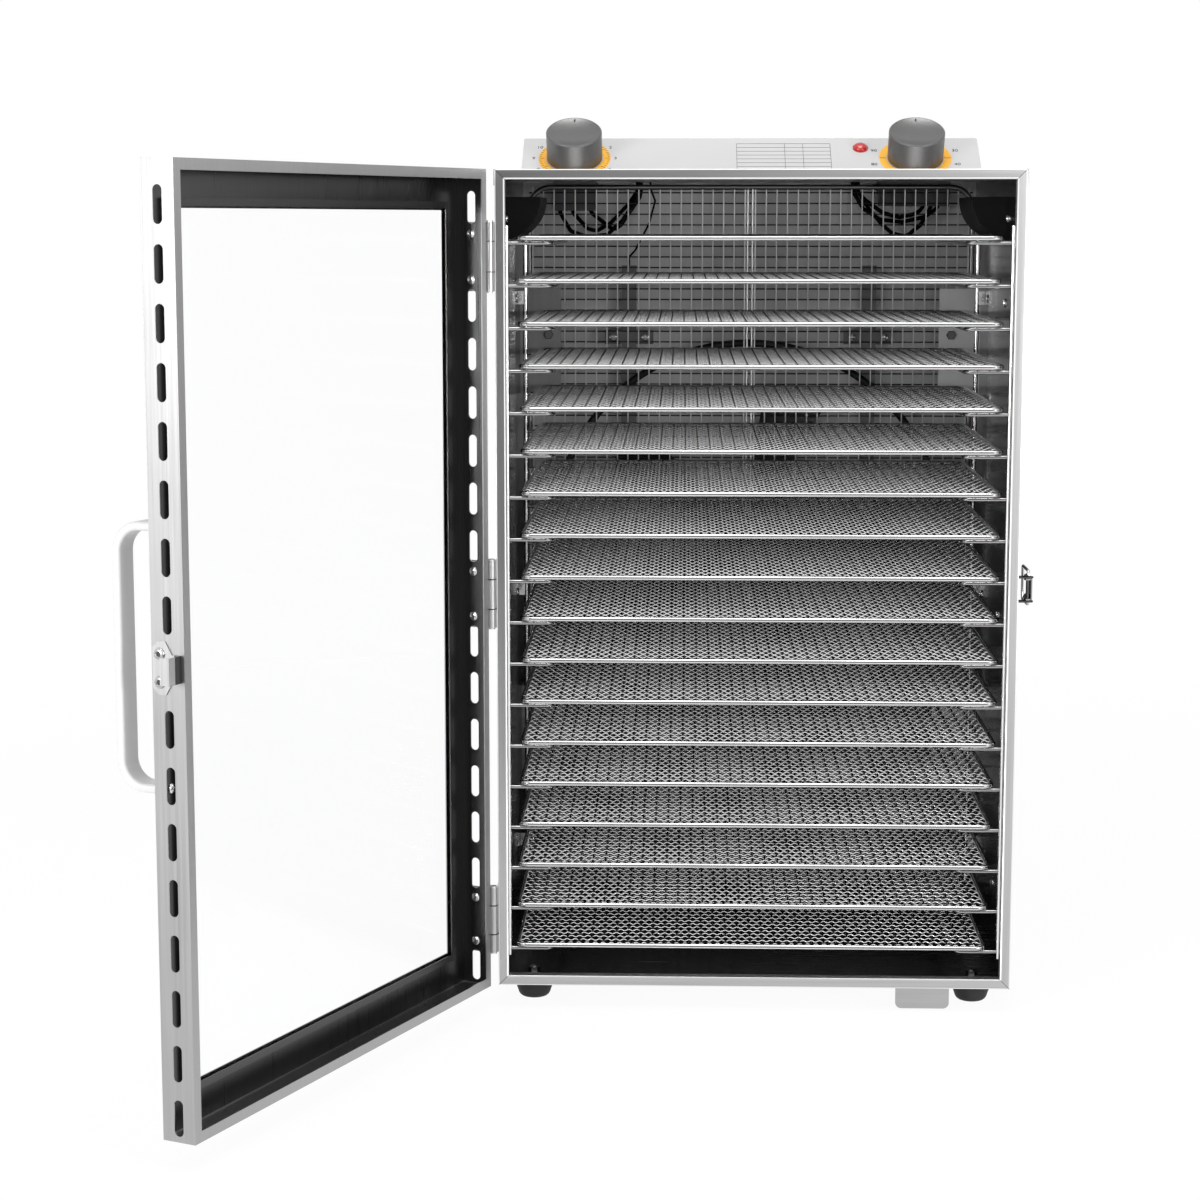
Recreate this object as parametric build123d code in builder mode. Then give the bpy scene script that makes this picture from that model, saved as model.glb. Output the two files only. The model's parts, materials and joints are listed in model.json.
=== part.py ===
# Cabinet food dehydrator: steel box, glazed door, eighteen wire trays, rear fan and heater
# Front faces -Y, the floor is Z = 0, and the origin is the centre of the footprint
import os
from math import cos, pi, radians, sin, sqrt, tan

from build123d import *

os.makedirs("parts", exist_ok=True)

# Cabinet box
box_w = 430
box_d = 372
box_h = 681
foot_h = 20
sheet = 1.0
flange_w = 8.4
lip_d = 9
pan_drop = 4.5
skirt_h = 13
x_s = box_w / 2
y_f = -box_d / 2
y_b = box_d / 2
z0 = foot_h
z_mid = z0 + box_h / 2
z_top = z0 + box_h
z_pan = z_top - pan_drop
open_w = box_w - 2 * flange_w
open_h = box_h - 2 * flange_w
run_fit = 0.05

# Carry cups in the side walls
cup_l = 112
cup_h = 37
cup_d = 30
cup_t = 2
cup_rim = 5
cup_down = 39.5
z_cup = z_top - cup_down
nut_r = 4
nut_h = 3
nut_out = 11

# Control console at the rear of the top
con_side = 3
con_t = 1.2
con_h = 39.9
con_back = 17
con_w = box_w - 2 * con_side
ridge = 6
tilt = 33
panel_t = 1.2
panel_l = 70
panel_r = 2
dial_s = 35
timer_in = 51.6
therm_in = 62.6
dial_x = (-x_s + timer_in, x_s - therm_in)
knob_r = 25.8
knob_h = 27.5
knob_gap = 1.0
knob_bevel = 1.1
notch_w = 1.6
notch_l = 5
notch_d = 1.2
shaft_r = 3.0
shaft_in = 12
hole_play = 1.0
switch_w = (40, 66)
switch_l = (46, 41)
switch_h = 32
well_w = 92
well_l = 60
well_back = 42
lamp_in = 112.5
lamp_x = x_s - lamp_in
lamp_s = 18
lamp_r = 6.3
lamp_h = 5
lamp_neck = 1.2

# Trays and racks
tray_n = 18
tray_side = 7.6
tray_r = 18
tray_rod = 4.2
tray_down = 55.4
tray_low = 32.3
tray_in = 8
net_t = 1.6
net_bar = 2.4
net_nx = 5
net_ny = 4
tray_shift = [0, -1.2, 1.4, 2.2, 2.6, 3.0, 2.7, 2.4, 2.8, 2.2, 2.7, 2.4, 2.0, 1.0, 0.2, -0.8, -1.6, -2.4]
rack_r = 2.25
rack_wall = 7.2
loop_r = 1.7
loop_in = 38
loop_bend = 7
rack_in = 15
rack_lo = 22.5
rack_over = 10
rack_back = 40
rack_lug = 12
lug_t = 3
lug_share = (0.047, 0.451, 0.906)
wall_screw_in = (125, 255)
ride_gap = 0.3

# Bay behind the rear guard with fan, heater and motor, measured from the back wall
bay_d = 54
tray_back = 10
guard_side = 6
guard_end = 8
guard_rod = 5
guard_r = 20
guard_t = 1.6
guard_bar = 2.2
guard_nx = 6
guard_ny = 11
stay_w = 3.4
stay_off = 2.2
plate_w = 38
plate_h = 98
plate_t = 1.5
plate_off = 188
plate_lip = 12
plate_bolt_r = 4.6
plate_bolt_h = 3
plate_bolt_in = 26.6
plate_bolt_up = 6
fan_back = 35
fan_r = 148
hub_r = 27
hub_l = 20
blade_n = 5
blade_t = 1.4
blade_w = 30
blade_pitch = 24
heater_back = 28
heater_r = 185
heater_rod = 7
rail_back = 20
rail_x = 113
rail_w = 14
rail_t = 3
rail_h = 515
rail_lug = 12
clip_w = 46
clip_h = 13
clip_off = 190
strap_h = 26
motor_w = 62
motor_l = 40
motor_boss = 8
motor_play = 9
cover_w = 150
cover_d = 32
vent_side = 22
vent_h = 4
vent_n = 6
inlet_r = 9
inlet_bore = 3.6
inlet_in = 65
inlet_z = 60
inlet_x = x_s - inlet_in
guard_y = y_b - bay_d
fan_y = y_b - fan_back
heater_y = y_b - heater_back
rail_y = y_b - rail_back
tray_w = open_w - 2 * tray_side
tray_d = guard_y - y_f - tray_in - tray_back
tray_top = box_h - tray_down
tray_pitch = (tray_top - tray_low) / (tray_n - 1)
rack_x = x_s - sheet - rack_wall
rack_y0 = y_f + rack_in
rack_y1 = guard_y - rack_back

# Leads of the timer, the thermostat and the motor, in planes behind the guard
lead_r = 1.9
thin_r = 0.9
lead_bend = 5
lead_low = 6
lead_stub = 8
lead_back = 37
lead_step = 6
# Each lead: where it leaves its switch, then across and down from there, and where it meets the top
timer_leads = [
    (-15, [(-4.3, 45.2), (11.4, 50.5), (30.4, 48.5), (44.4, 35.5), (57.4, 15.5)], 59.4),
    (-3, [(11.7, 43.3), (20.4, 45), (33.4, 37.5), (50, 20)], 58.4),
    (14, [(35.7, 44.5), (42.9, 39.5), (60.4, 13.5)], 61.4),
]
therm_leads = [
    (10, [(2.6, 29), (-12.6, 32.6), (-28.4, 28.5), (-44.4, 17)], -53.4),
    (24, [(11.2, 32), (-10.2, 37), (-30.4, 34.5), (-46.4, 24.5)], -56.4),
    (17, [(7.6, 40), (-5.4, 50), (-18.4, 47.5), (-29.4, 38), (-44.4, 19.5)], -51.4),
]
motor_lead = [(20, 0), (20, 6), (24.5, 17), (19, 38), (6, 63)]

# Screw heads
head_r = 3.7
head_h = 1.6
head_n = 12

# Feet, and the tongue of the floor sheet
foot_side = 28
foot_in = 40
foot_r = 17.5
foot_taper = 4.3
foot_round = 6
bolt_r = 2.5
bolt_hole = 3.2
bolt_head = 5
bolt_sink = 3
bolt_nut = 4
tab_side = 73
tab_w = 45
tab_h = 17.5
tab_t = 1.5
tab_r = 5
foot_x = x_s - foot_side
foot_y = y_b - foot_in

# Door, drawn shut and then swung about its hinge pin
door_over = 0.5
door_w = box_w + 2 * door_over
door_h = box_h
door_t = 27
door_gap = 2
door_lip = 8
win_side = 29
win_end = 33
bow_in = 18
bow_l = 194.5
bow_d = 38.5
bow_t = 6.5
bow_w = 18
bow_r = 22
bow_leg = 11
bow_down = 340.5
glass_t = 3.2
glass_lap = 4
hold_w = 2.8
hold_t = 1.2
door_open = 114.4
slot_l = 26.3
slot_w = 7.5
slot_n = 17
slot_end = 30.7
slot_low = 17.5
slot_top = door_h - slot_end
slot_round = slot_w / 2
slot_pitch = (slot_top - slot_low) / (slot_n - 1)
hinge_at = [1, 8, 15]
pin_r = 1.6
pin_out = 4
pin_off = 1
barrel_r = 3.3
leaf_t = 1.2
leaf_w = 20
leaf_in = 2.2
leaf_off = 4
leaf_neck = 5
neck_in = 0.5
leaf_h = 56
knuckle_h = 24.8
knuckle_gap = 0.2
pin_head = 1.2
pin_x = -x_s - pin_out
pin_y = y_f - pin_off
y_in = y_f - door_gap
y_out = y_in - door_t
door_x = -door_w / 2
door_z = z0 + door_h / 2
slot_z = [z0 + slot_top - slot_pitch * row for row in range(slot_n)]
hinge_z = [slot_z[row] for row in hinge_at]

# Toggle latch on the right wall, and its keeper on the door
latch_t = 1.2
latch_up = 3.1
base_l = 42
base_h = 24
base_over = 6
ear_r = 4.5
ear_z = 9.5
lever_pin = 1.5
lever_out = 10
lever_in = 20
lever_l = 38
lever_w = 18
lever_nose = 3
bail_r = 1.25
bail_w = 28
bail_out = 1.5
bail_back = 9
bail_end = 5.5
bail_bend = 1.6
keep_in = 2.5
keep_l = 23
pad_l = 10.5
pad_h = 37
pad_r = 4.5
pad_slope = 5.5
hook_h = 19
hook_out = 13.3
hook_lip = 7.7
rivet_r = 4
rivet_h = 1.4
rivet_in = 19.5
rivet_z = 9.8
latch_z = slot_z[slot_n // 2] + latch_up
lever_x = x_s + lever_out
lever_y = y_f + lever_in
bail_x = lever_x + bail_out
bail_y = lever_y + bail_back
keep_x = door_w / 2
keep_y = y_in - keep_in
bail_l = bail_y - keep_y + latch_t + bail_r + hole_play / 2

# Round corners in short facets are cut in two passes, by these shares of their radius
bend_1 = 2 - sqrt(2)
bend_2 = tan(pi / 8) - tan(pi / 16)

# Round the frame opening: face flange with a lip turned back inside
with BuildPart() as front_frame:
    with BuildSketch(Plane.XZ.offset(-y_f)):
        with Locations((0, z_mid)):
            Rectangle(box_w, box_h)
            Rectangle(open_w, open_h, mode=Mode.SUBTRACT)
    extrude(amount=-sheet)
    with BuildSketch(Plane.XZ.offset(-y_f - sheet)):
        with Locations((0, z_mid)):
            Rectangle(open_w + 2 * sheet, open_h + 2 * sheet)
            Rectangle(open_w, open_h, mode=Mode.SUBTRACT)
    extrude(amount=sheet - lip_d)
front_frame.part.label = "front_frame"
export_step(front_frame.part, "parts/front_frame.step")

with BuildPart() as side_panel_right:
    with BuildSketch(Plane.YZ.offset(x_s - sheet)):
        with Locations((sheet / 2, z0 + (box_h - sheet) / 2)):
            Rectangle(box_d - sheet, box_h - sheet)
        with Locations((0, z_cup)):
            Rectangle(cup_l, cup_h, mode=Mode.SUBTRACT)
    extrude(amount=sheet)
side_panel_right.part.label = "side_panel_right"
export_step(side_panel_right.part, "parts/side_panel_right.step")

with BuildPart() as side_panel_left:
    mirror(side_panel_right.part, about=Plane.YZ)
side_panel_left.part.label = "side_panel_left"
export_step(side_panel_left.part, "parts/side_panel_left.step")

# Floor sheet, with a tongue bent down under the front edge
with BuildPart() as floor_panel:
    with BuildSketch(Plane.XY.offset(z0)):
        Rectangle(box_w - 2 * sheet, box_d - 2 * sheet)
        with GridLocations(2 * foot_x, 2 * foot_y, 2, 2):
            Circle(bolt_hole, mode=Mode.SUBTRACT)
    extrude(amount=sheet)
    with BuildSketch(Plane.XZ.offset(-y_f - sheet)):
        with Locations((x_s - tab_side, z0)):
            Rectangle(tab_w, tab_h, align=(Align.CENTER, Align.MAX))
        fillet(vertices().group_by(Axis.Y)[0], tab_r)
    extrude(amount=-tab_t)
floor_panel.part.label = "floor_panel"
export_step(floor_panel.part, "parts/floor_panel.step")

# Back wall with a window for the motor
with BuildPart() as back_panel:
    with BuildSketch(Plane.XZ.offset(-y_b)):
        with Locations((0, z0 + (z_pan - sheet - z0) / 2)):
            Rectangle(box_w - 2 * sheet, z_pan - sheet - z0)
        with Locations((0, z_mid)):
            Rectangle(motor_w + 2 * motor_play, motor_w + 2 * motor_play, mode=Mode.SUBTRACT)
    extrude(amount=sheet)
back_panel.part.label = "back_panel"
export_step(back_panel.part, "parts/back_panel.step")

# Top: a shallow pan whose edges hook over the side walls, with wells for the switches
well_y = y_b - well_back
with BuildPart() as top_cover:
    with BuildSketch(Plane.XZ.offset(-y_f - sheet)):
        with BuildLine():
            Polyline(
                (0, z_pan - sheet),
                (x_s - sheet, z_pan - sheet),
                (x_s - sheet, z_top - sheet),
                (x_s, z_top - sheet),
                (x_s, z_top - skirt_h),
                (x_s + sheet, z_top - skirt_h),
                (x_s + sheet, z_top),
                (x_s - 2 * sheet, z_top),
                (x_s - 2 * sheet, z_pan),
                (0, z_pan),
                close=True,
            )
        make_face()
        mirror(about=Plane.YZ)
    extrude(amount=sheet - box_d)
    with BuildSketch(Plane.XY.offset(z_pan - sheet)):
        with Locations((dial_x[0], well_y), (dial_x[1], well_y)):
            Rectangle(well_w, well_l)
    extrude(amount=sheet, mode=Mode.SUBTRACT)
top_cover.part.label = "top_cover"
export_step(top_cover.part, "parts/top_cover.step")

# Carry cup: a scoop with a flat roof, a round floor and a rim outside the wall
with BuildPart() as side_handle_right:
    with BuildSketch(Plane.XZ.offset(cup_l / 2 - run_fit)):
        with BuildLine():
            Line((x_s - cup_d, z_cup + cup_h / 2 - run_fit), (x_s, z_cup + cup_h / 2 - run_fit))
            Line((x_s, z_cup + cup_h / 2 - run_fit), (x_s, z_cup - cup_h / 2 + run_fit))
            ThreePointArc(
                (x_s, z_cup - cup_h / 2 + run_fit),
                (x_s - 0.74 * cup_d, z_cup - 0.14 * cup_h),
                (x_s - cup_d, z_cup + cup_h / 2 - run_fit),
            )
        make_face()
    extrude(amount=-(cup_l - 2 * run_fit))
    with BuildSketch(Plane.YZ.offset(x_s)):
        with Locations((0, z_cup)):
            RectangleRounded(cup_l + 2 * cup_rim, cup_h + 2 * cup_rim, cup_rim)
    extrude(amount=cup_t)
    with BuildSketch(Plane.XZ.offset(cup_l / 2 - cup_t)):
        with BuildLine():
            roof_z = z_cup + cup_h / 2 - cup_t
            sill_z = z_cup - cup_h / 2 + cup_t
            deep_x = x_s - cup_d + 2 * cup_t
            Polyline((deep_x, roof_z), (x_s + cup_t, roof_z), (x_s + cup_t, sill_z), (x_s, sill_z))
            ThreePointArc(
                (x_s, sill_z),
                (x_s - 0.74 * cup_d + cup_t, z_cup - 0.14 * cup_h + cup_t),
                (deep_x, roof_z),
            )
        make_face()
    extrude(amount=-(cup_l - 2 * cup_t), mode=Mode.SUBTRACT)
side_handle_right.part.label = "side_handle_right"
export_step(side_handle_right.part, "parts/side_handle_right.step")

with BuildPart() as side_handle_left:
    mirror(side_handle_right.part, about=Plane.YZ)
side_handle_left.part.label = "side_handle_left"
export_step(side_handle_left.part, "parts/side_handle_left.step")

# Dome nuts inside the walls at both ends of each cup
with BuildPart() as dome_nuts:
    with BuildSketch(Plane.YZ.offset(x_s - sheet)):
        with Locations((-cup_l / 2 - nut_out, z_cup), (cup_l / 2 + nut_out, z_cup)):
            RegularPolygon(nut_r, head_n)
    extrude(amount=-nut_h)
    chamfer(dome_nuts.faces().sort_by(Axis.X)[:2].edges(), nut_h / 2)
    mirror(about=Plane.YZ)
dome_nuts.part.label = "dome_nuts"
export_step(dome_nuts.part, "parts/dome_nuts.step")

# Console: the slanted panel lies on the cheeks and on the ridge at the rear
slope_y = cos(radians(tilt))
slope_z = sin(radians(tilt))
y_con = y_b - con_back
z_con = z_pan + con_h
panel_plane = Plane(origin=(0, y_con, z_con), x_dir=(1, 0, 0), z_dir=(0, -slope_z, slope_y))
seat_y = y_con + panel_t * slope_z
seat_z = z_con - panel_t * slope_y
seat_run = (seat_z - z_pan) / tan(radians(tilt))

with BuildPart() as console_shell:
    with BuildSketch(Plane.YZ.offset(-con_w / 2)):
        with BuildLine():
            Polyline(
                (seat_y - seat_run, z_pan),
                (seat_y, seat_z),
                (seat_y + ridge, seat_z),
                (seat_y + ridge, z_pan),
                close=True,
            )
        make_face()
    extrude(amount=con_w)
    with BuildSketch(Plane.YZ.offset(-con_w / 2 + con_t)):
        with BuildLine():
            Polyline(
                (seat_y - seat_run, z_pan),
                (seat_y - con_t / tan(radians(tilt)), seat_z - con_t),
                (seat_y + ridge - con_t, seat_z - con_t),
                (seat_y + ridge - con_t, z_pan),
                close=True,
            )
        make_face()
    extrude(amount=con_w - 2 * con_t, mode=Mode.SUBTRACT)
console_shell.part.label = "console_shell"
export_step(console_shell.part, "parts/console_shell.step")

with BuildPart() as control_panel:
    with BuildSketch(panel_plane):
        with Locations((0, -panel_l / 2)):
            RectangleRounded(con_w, panel_l, panel_r)
        with Locations((dial_x[0], -dial_s), (dial_x[1], -dial_s)):
            Circle(shaft_r + hole_play, mode=Mode.SUBTRACT)
        with Locations((lamp_x, -lamp_s)):
            Circle(lamp_r - lamp_neck + hole_play / 4, mode=Mode.SUBTRACT)
    extrude(amount=-panel_t)
control_panel.part.label = "control_panel"
export_step(control_panel.part, "parts/control_panel.step")

# Timer and thermostat hang behind the panel, each with a hole for its shaft
with BuildPart() as timer_body:
    with BuildSketch(panel_plane.offset(-panel_t)):
        with Locations((dial_x[0], -dial_s)):
            Rectangle(switch_w[0], switch_h)
            Circle(shaft_r + run_fit, mode=Mode.SUBTRACT)
    extrude(amount=-shaft_in)
    with BuildSketch(panel_plane.offset(-panel_t - shaft_in)):
        with Locations((dial_x[0], -dial_s)):
            Rectangle(switch_w[0], switch_h)
    extrude(amount=shaft_in - switch_l[0])
timer_body.part.label = "timer_body"
export_step(timer_body.part, "parts/timer_body.step")

with BuildPart() as thermostat_body:
    with BuildSketch(panel_plane.offset(-panel_t)):
        with Locations((dial_x[1], -dial_s)):
            Rectangle(switch_w[1], switch_h)
            Circle(shaft_r + run_fit, mode=Mode.SUBTRACT)
    extrude(amount=-shaft_in)
    with BuildSketch(panel_plane.offset(-panel_t - shaft_in)):
        with Locations((dial_x[1], -dial_s)):
            Rectangle(switch_w[1], switch_h)
    extrude(amount=shaft_in - switch_l[1])
thermostat_body.part.label = "thermostat_body"
export_step(thermostat_body.part, "parts/thermostat_body.step")

# Turned knob with a bevelled crown, a pointer notch and its shaft
panel_normal = Axis(panel_plane.origin, panel_plane.z_dir)
with BuildPart() as timer_knob:
    with BuildSketch(panel_plane.offset(knob_gap)):
        with Locations((dial_x[0], -dial_s)):
            Circle(knob_r)
    extrude(amount=knob_h)
    chamfer(timer_knob.faces().sort_by(panel_normal)[-1].edges(), knob_bevel)
    with BuildSketch(panel_plane.offset(knob_gap + knob_h)):
        with Locations((dial_x[0], -dial_s + knob_r - notch_l / 2)):
            Rectangle(notch_w, notch_l)
    extrude(amount=-notch_d, mode=Mode.SUBTRACT)
    with BuildSketch(panel_plane.offset(knob_gap)):
        with Locations((dial_x[0], -dial_s)):
            Circle(shaft_r)
    extrude(amount=-(knob_gap + panel_t + shaft_in - hole_play))
timer_knob.part.label = "timer_knob"
export_step(timer_knob.part, "parts/timer_knob.step")

with BuildPart() as thermostat_knob:
    add(timer_knob.part.moved(Location((dial_x[1] - dial_x[0], 0, 0))))
thermostat_knob.part.label = "thermostat_knob"
export_step(thermostat_knob.part, "parts/thermostat_knob.step")

with BuildPart() as power_lamp:
    with BuildSketch(panel_plane):
        with Locations((lamp_x, -lamp_s)):
            Circle(lamp_r)
    extrude(amount=lamp_h)
    chamfer(power_lamp.faces().sort_by(panel_normal)[-1].edges(), lamp_h / 2)
    with BuildSketch(panel_plane):
        with Locations((lamp_x, -lamp_s)):
            Circle(lamp_r - lamp_neck)
    extrude(amount=-(panel_t + shaft_in))
power_lamp.part.label = "power_lamp"
export_step(power_lamp.part, "parts/power_lamp.step")

# Leads: from both switches in hanging loops to the top, and a thin one from there to a motor rail
top_under = z_pan - sheet
rail_top = z_mid + rail_h / 2
lead_y = y_b - lead_back
routes = []
for dial, depth, leads in ((dial_x[0], switch_l[0], timer_leads), (dial_x[1], switch_l[1], therm_leads)):
    for turn, (start, hang, end) in enumerate(leads):
        y = lead_y + lead_step * turn
        outlet = panel_plane.from_local_coords(Vector(dial + start, -dial_s - lead_low, -panel_t - depth))
        stub = outlet - panel_plane.z_dir * lead_stub
        loop = [(dial + x, y, top_under - drop) for x, drop in [*hang, (end, lead_stub), (end, 0)]]
        routes.append(([outlet, stub, *loop], lead_r))
rail_lead = [(x - rail_x, lead_y + lead_step, top_under - drop) for x, drop in motor_lead]
rail_end = [(-rail_x, rail_y + rail_t / 2, rail_top + lift) for lift in (lead_stub, 0)]
routes.append(([*rail_lead, *rail_end], thin_r))
with BuildPart() as wiring:
    for points, radius in routes:
        with BuildLine() as route:
            FilletPolyline(*points, radius=lead_bend)
        with BuildSketch(Plane(origin=route.line @ 0, z_dir=route.line % 0)):
            RegularPolygon(radius, 6)
        sweep(path=route.line)
wiring.part.label = "wiring"
export_step(wiring.part, "parts/wiring.step")

# Rack: two uprights with lugs on the wall, and a shelf wire for each tray
with BuildPart() as rack_right:
    with BuildSketch(Plane.XY.offset(z0 + rack_lo)):
        with Locations((rack_x, rack_y0), (rack_x, rack_y1)):
            RegularPolygon(rack_r, 8, rotation=22.5)
    extrude(amount=tray_top + rack_over - rack_lo)
    shelf_z = z0 + tray_top - tray_rod / 2 - loop_r - ride_gap
    with BuildLine() as loop:
        Polyline(
            (rack_x, rack_y0, shelf_z),
            (rack_x - loop_in + loop_bend, rack_y0, shelf_z),
            (rack_x - loop_in, rack_y0 + loop_bend, shelf_z),
            (rack_x - loop_in, rack_y1 - loop_bend, shelf_z),
            (rack_x - loop_in + loop_bend, rack_y1, shelf_z),
            (rack_x, rack_y1, shelf_z),
        )
    with BuildSketch(Plane(origin=loop.line @ 0, x_dir=(0, 1, 0), z_dir=(-1, 0, 0))):
        RegularPolygon(loop_r, 6)
    shelf = sweep(path=loop.line, transition=Transition.RIGHT, mode=Mode.PRIVATE)
    with Locations(*[(0, 0, -tray_pitch * level) for level in range(tray_n)]):
        add(shelf)
    lug_z = [z0 + tray_low + (tray_top - tray_low) * share for share in lug_share]
    with Locations(*[(x_s - sheet, y, z) for y in (rack_y0, rack_y1) for z in lug_z]):
        Box(rack_wall, lug_t, rack_lug, align=(Align.MAX, Align.CENTER, Align.CENTER))
rack_right.part.label = "rack_right"
export_step(rack_right.part, "parts/rack_right.step")

with BuildPart() as rack_left:
    mirror(rack_right.part, about=Plane.YZ)
rack_left.part.label = "rack_left"
export_step(rack_left.part, "parts/rack_left.step")

# Tray: a rod rim bent round the corners in short facets, and a flat net
cell_x = (tray_w - 2 * tray_rod - net_bar) / net_nx
cell_y = (tray_d - 2 * tray_rod - net_bar) / net_ny
with BuildPart() as tray:
    with BuildSketch(Plane.XY.offset(-tray_rod / 2)):
        Rectangle(tray_w, tray_d)
        chamfer(vertices(), tray_r * bend_1)
        chamfer(vertices(), tray_r * bend_2)
    extrude(amount=tray_rod)
    with BuildSketch(Plane.XY.offset(-tray_rod / 2)):
        Rectangle(tray_w - 2 * tray_rod, tray_d - 2 * tray_rod)
        chamfer(vertices(), (tray_r - tray_rod) * bend_1)
        chamfer(vertices(), (tray_r - tray_rod) * bend_2)
    extrude(amount=tray_rod, mode=Mode.SUBTRACT)
    with BuildSketch(Plane.XY.offset(-net_t / 2)):
        Rectangle(tray_w - tray_rod, tray_d - tray_rod)
        chamfer(vertices(), tray_r * bend_1)
        with GridLocations(cell_x, cell_y, net_nx, net_ny):
            Rectangle(cell_x - net_bar, cell_y - net_bar, mode=Mode.SUBTRACT)
    extrude(amount=net_t)

for level in range(tray_n):
    place = (tray_shift[level], y_f + tray_in + tray_d / 2, z0 + tray_top - tray_pitch * level)
    tray_name = f"tray_{level + 1:02d}"
    level_tray = tray.part.moved(Location(place))
    level_tray.label = tray_name
    export_step(level_tray, f"parts/{tray_name}.step")

# Rear guard: a bent rod frame with two stays, round a flat net
guard_w = box_w - 2 * sheet - 2 * guard_side
guard_h = box_h - 2 * guard_end
with BuildPart() as rear_guard:
    with BuildSketch(Plane.XZ.offset(-guard_y)):
        with Locations((0, z_mid)):
            RectangleRounded(guard_w, guard_h, guard_r)
            inner_w = guard_w - 2 * guard_rod
            inner_h = guard_h - 2 * guard_rod
            RectangleRounded(inner_w, inner_h, guard_r - guard_rod, mode=Mode.SUBTRACT)
        with Locations((-stay_off, z_mid), (stay_off, z_mid)):
            Rectangle(stay_w, guard_h - guard_rod)
    extrude(amount=guard_rod / 2, both=True)
    with BuildSketch(Plane.XZ.offset(-guard_y)):
        with Locations((0, z_mid)):
            RectangleRounded(guard_w - guard_rod, guard_h - guard_rod, guard_r - guard_rod / 2)
            gap_x = (inner_w - guard_bar) / guard_nx
            gap_z = (inner_h - guard_bar) / guard_ny
            with GridLocations(gap_x, gap_z, guard_nx, guard_ny):
                Rectangle(gap_x - guard_bar, gap_z - guard_bar, mode=Mode.SUBTRACT)
    extrude(amount=guard_t / 2, both=True)
rear_guard.part.label = "rear_guard"
export_step(rear_guard.part, "parts/rear_guard.step")

# Angle plates in front of the guard, which hold it on the side walls
plate_y = guard_y - guard_rod / 2
plate_x = x_s - sheet - plate_w / 2
with BuildPart() as guard_brackets:
    with BuildSketch(Plane.XZ.offset(-plate_y)):
        with Locations((plate_x, z_mid + plate_off), (plate_x, z_mid - plate_off)):
            Rectangle(plate_w, plate_h)
    extrude(amount=plate_t)
    with BuildSketch(Plane.XZ.offset(-plate_y)):
        with Locations((x_s - sheet, z_mid + plate_off), (x_s - sheet, z_mid - plate_off)):
            Rectangle(plate_t, plate_h, align=(Align.MAX, Align.CENTER))
    extrude(amount=-plate_lip)
    mirror(about=Plane.YZ)
guard_brackets.part.label = "guard_brackets"
export_step(guard_brackets.part, "parts/guard_brackets.step")

# Motor frame: two rails with feet on the back wall, clip plates and a cross strap
clip_places = [(x, z_mid + z) for x in (-rail_x, rail_x) for z in (-clip_off, clip_off)]
rail_foot = rail_back - sheet - rail_t
with BuildPart() as motor_frame:
    with BuildSketch(Plane.XZ.offset(-rail_y)):
        with Locations((-rail_x, z_mid), (rail_x, z_mid)):
            Rectangle(rail_w, rail_h)
        with Locations((0, z_mid)):
            Rectangle(2 * rail_x, strap_h)
            Circle(motor_boss + hole_play, mode=Mode.SUBTRACT)
        with Locations(*clip_places):
            Rectangle(clip_w, clip_h)
    extrude(amount=-rail_t)
    foot_z = rail_h / 2 - rail_lug
    with Locations(*[(x, rail_y + rail_t, z_mid + z) for x in (-rail_x, rail_x) for z in (-foot_z, foot_z)]):
        Box(rail_w, rail_foot, rail_lug, align=(Align.CENTER, Align.MIN, Align.CENTER))
motor_frame.part.label = "motor_frame"
export_step(motor_frame.part, "parts/motor_frame.step")

with BuildPart() as fan_motor:
    with BuildSketch(Plane.XZ.offset(-rail_y - rail_t)):
        with Locations((0, z_mid)):
            Rectangle(motor_w, motor_w)
    extrude(amount=-motor_l)
    with BuildSketch(Plane.XZ.offset(-rail_y - rail_t)):
        with Locations((0, z_mid)):
            Circle(motor_boss)
    extrude(amount=rail_t)
    with BuildSketch(Plane.XZ.offset(-rail_y)):
        with Locations((0, z_mid)):
            Circle(shaft_r + run_fit)
    extrude(amount=-motor_l / 2, mode=Mode.SUBTRACT)
fan_motor.part.label = "fan_motor"
export_step(fan_motor.part, "parts/fan_motor.step")

# Fan: hub on its shaft with pitched blades
hub_tail = hub_l / 2
shaft_l = rail_y - fan_y - hub_tail + motor_l / 2 - hole_play
with BuildPart() as fan:
    with BuildSketch(Plane.XZ.offset(-fan_y)):
        with Locations((0, z_mid)):
            Circle(hub_r)
    extrude(amount=hub_tail, both=True)
    with BuildSketch(Plane.XZ.offset(-fan_y - hub_tail)):
        with Locations((0, z_mid)):
            Circle(shaft_r)
    extrude(amount=-shaft_l)
    for blade in range(blade_n):
        turn = radians(360 / blade_n * blade)
        lean = radians(blade_pitch)
        blade_plane = Plane(
            origin=(0, fan_y, z_mid),
            x_dir=(cos(turn), 0, sin(turn)),
            z_dir=(-sin(turn) * sin(lean), -cos(lean), cos(turn) * sin(lean)),
        )
        with BuildSketch(blade_plane):
            with BuildLine():
                root = hub_r * 0.85
                tip = fan_r - blade_w * 0.4
                Line((root, -blade_w * 0.27), (tip, -blade_w))
                ThreePointArc((tip, -blade_w), (fan_r, 0), (tip, blade_w))
                Line((tip, blade_w), (root, blade_w * 0.4))
                Line((root, blade_w * 0.4), (root, -blade_w * 0.27))
            make_face()
        extrude(amount=blade_t)
fan.part.label = "fan"
export_step(fan.part, "parts/fan.step")

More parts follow.
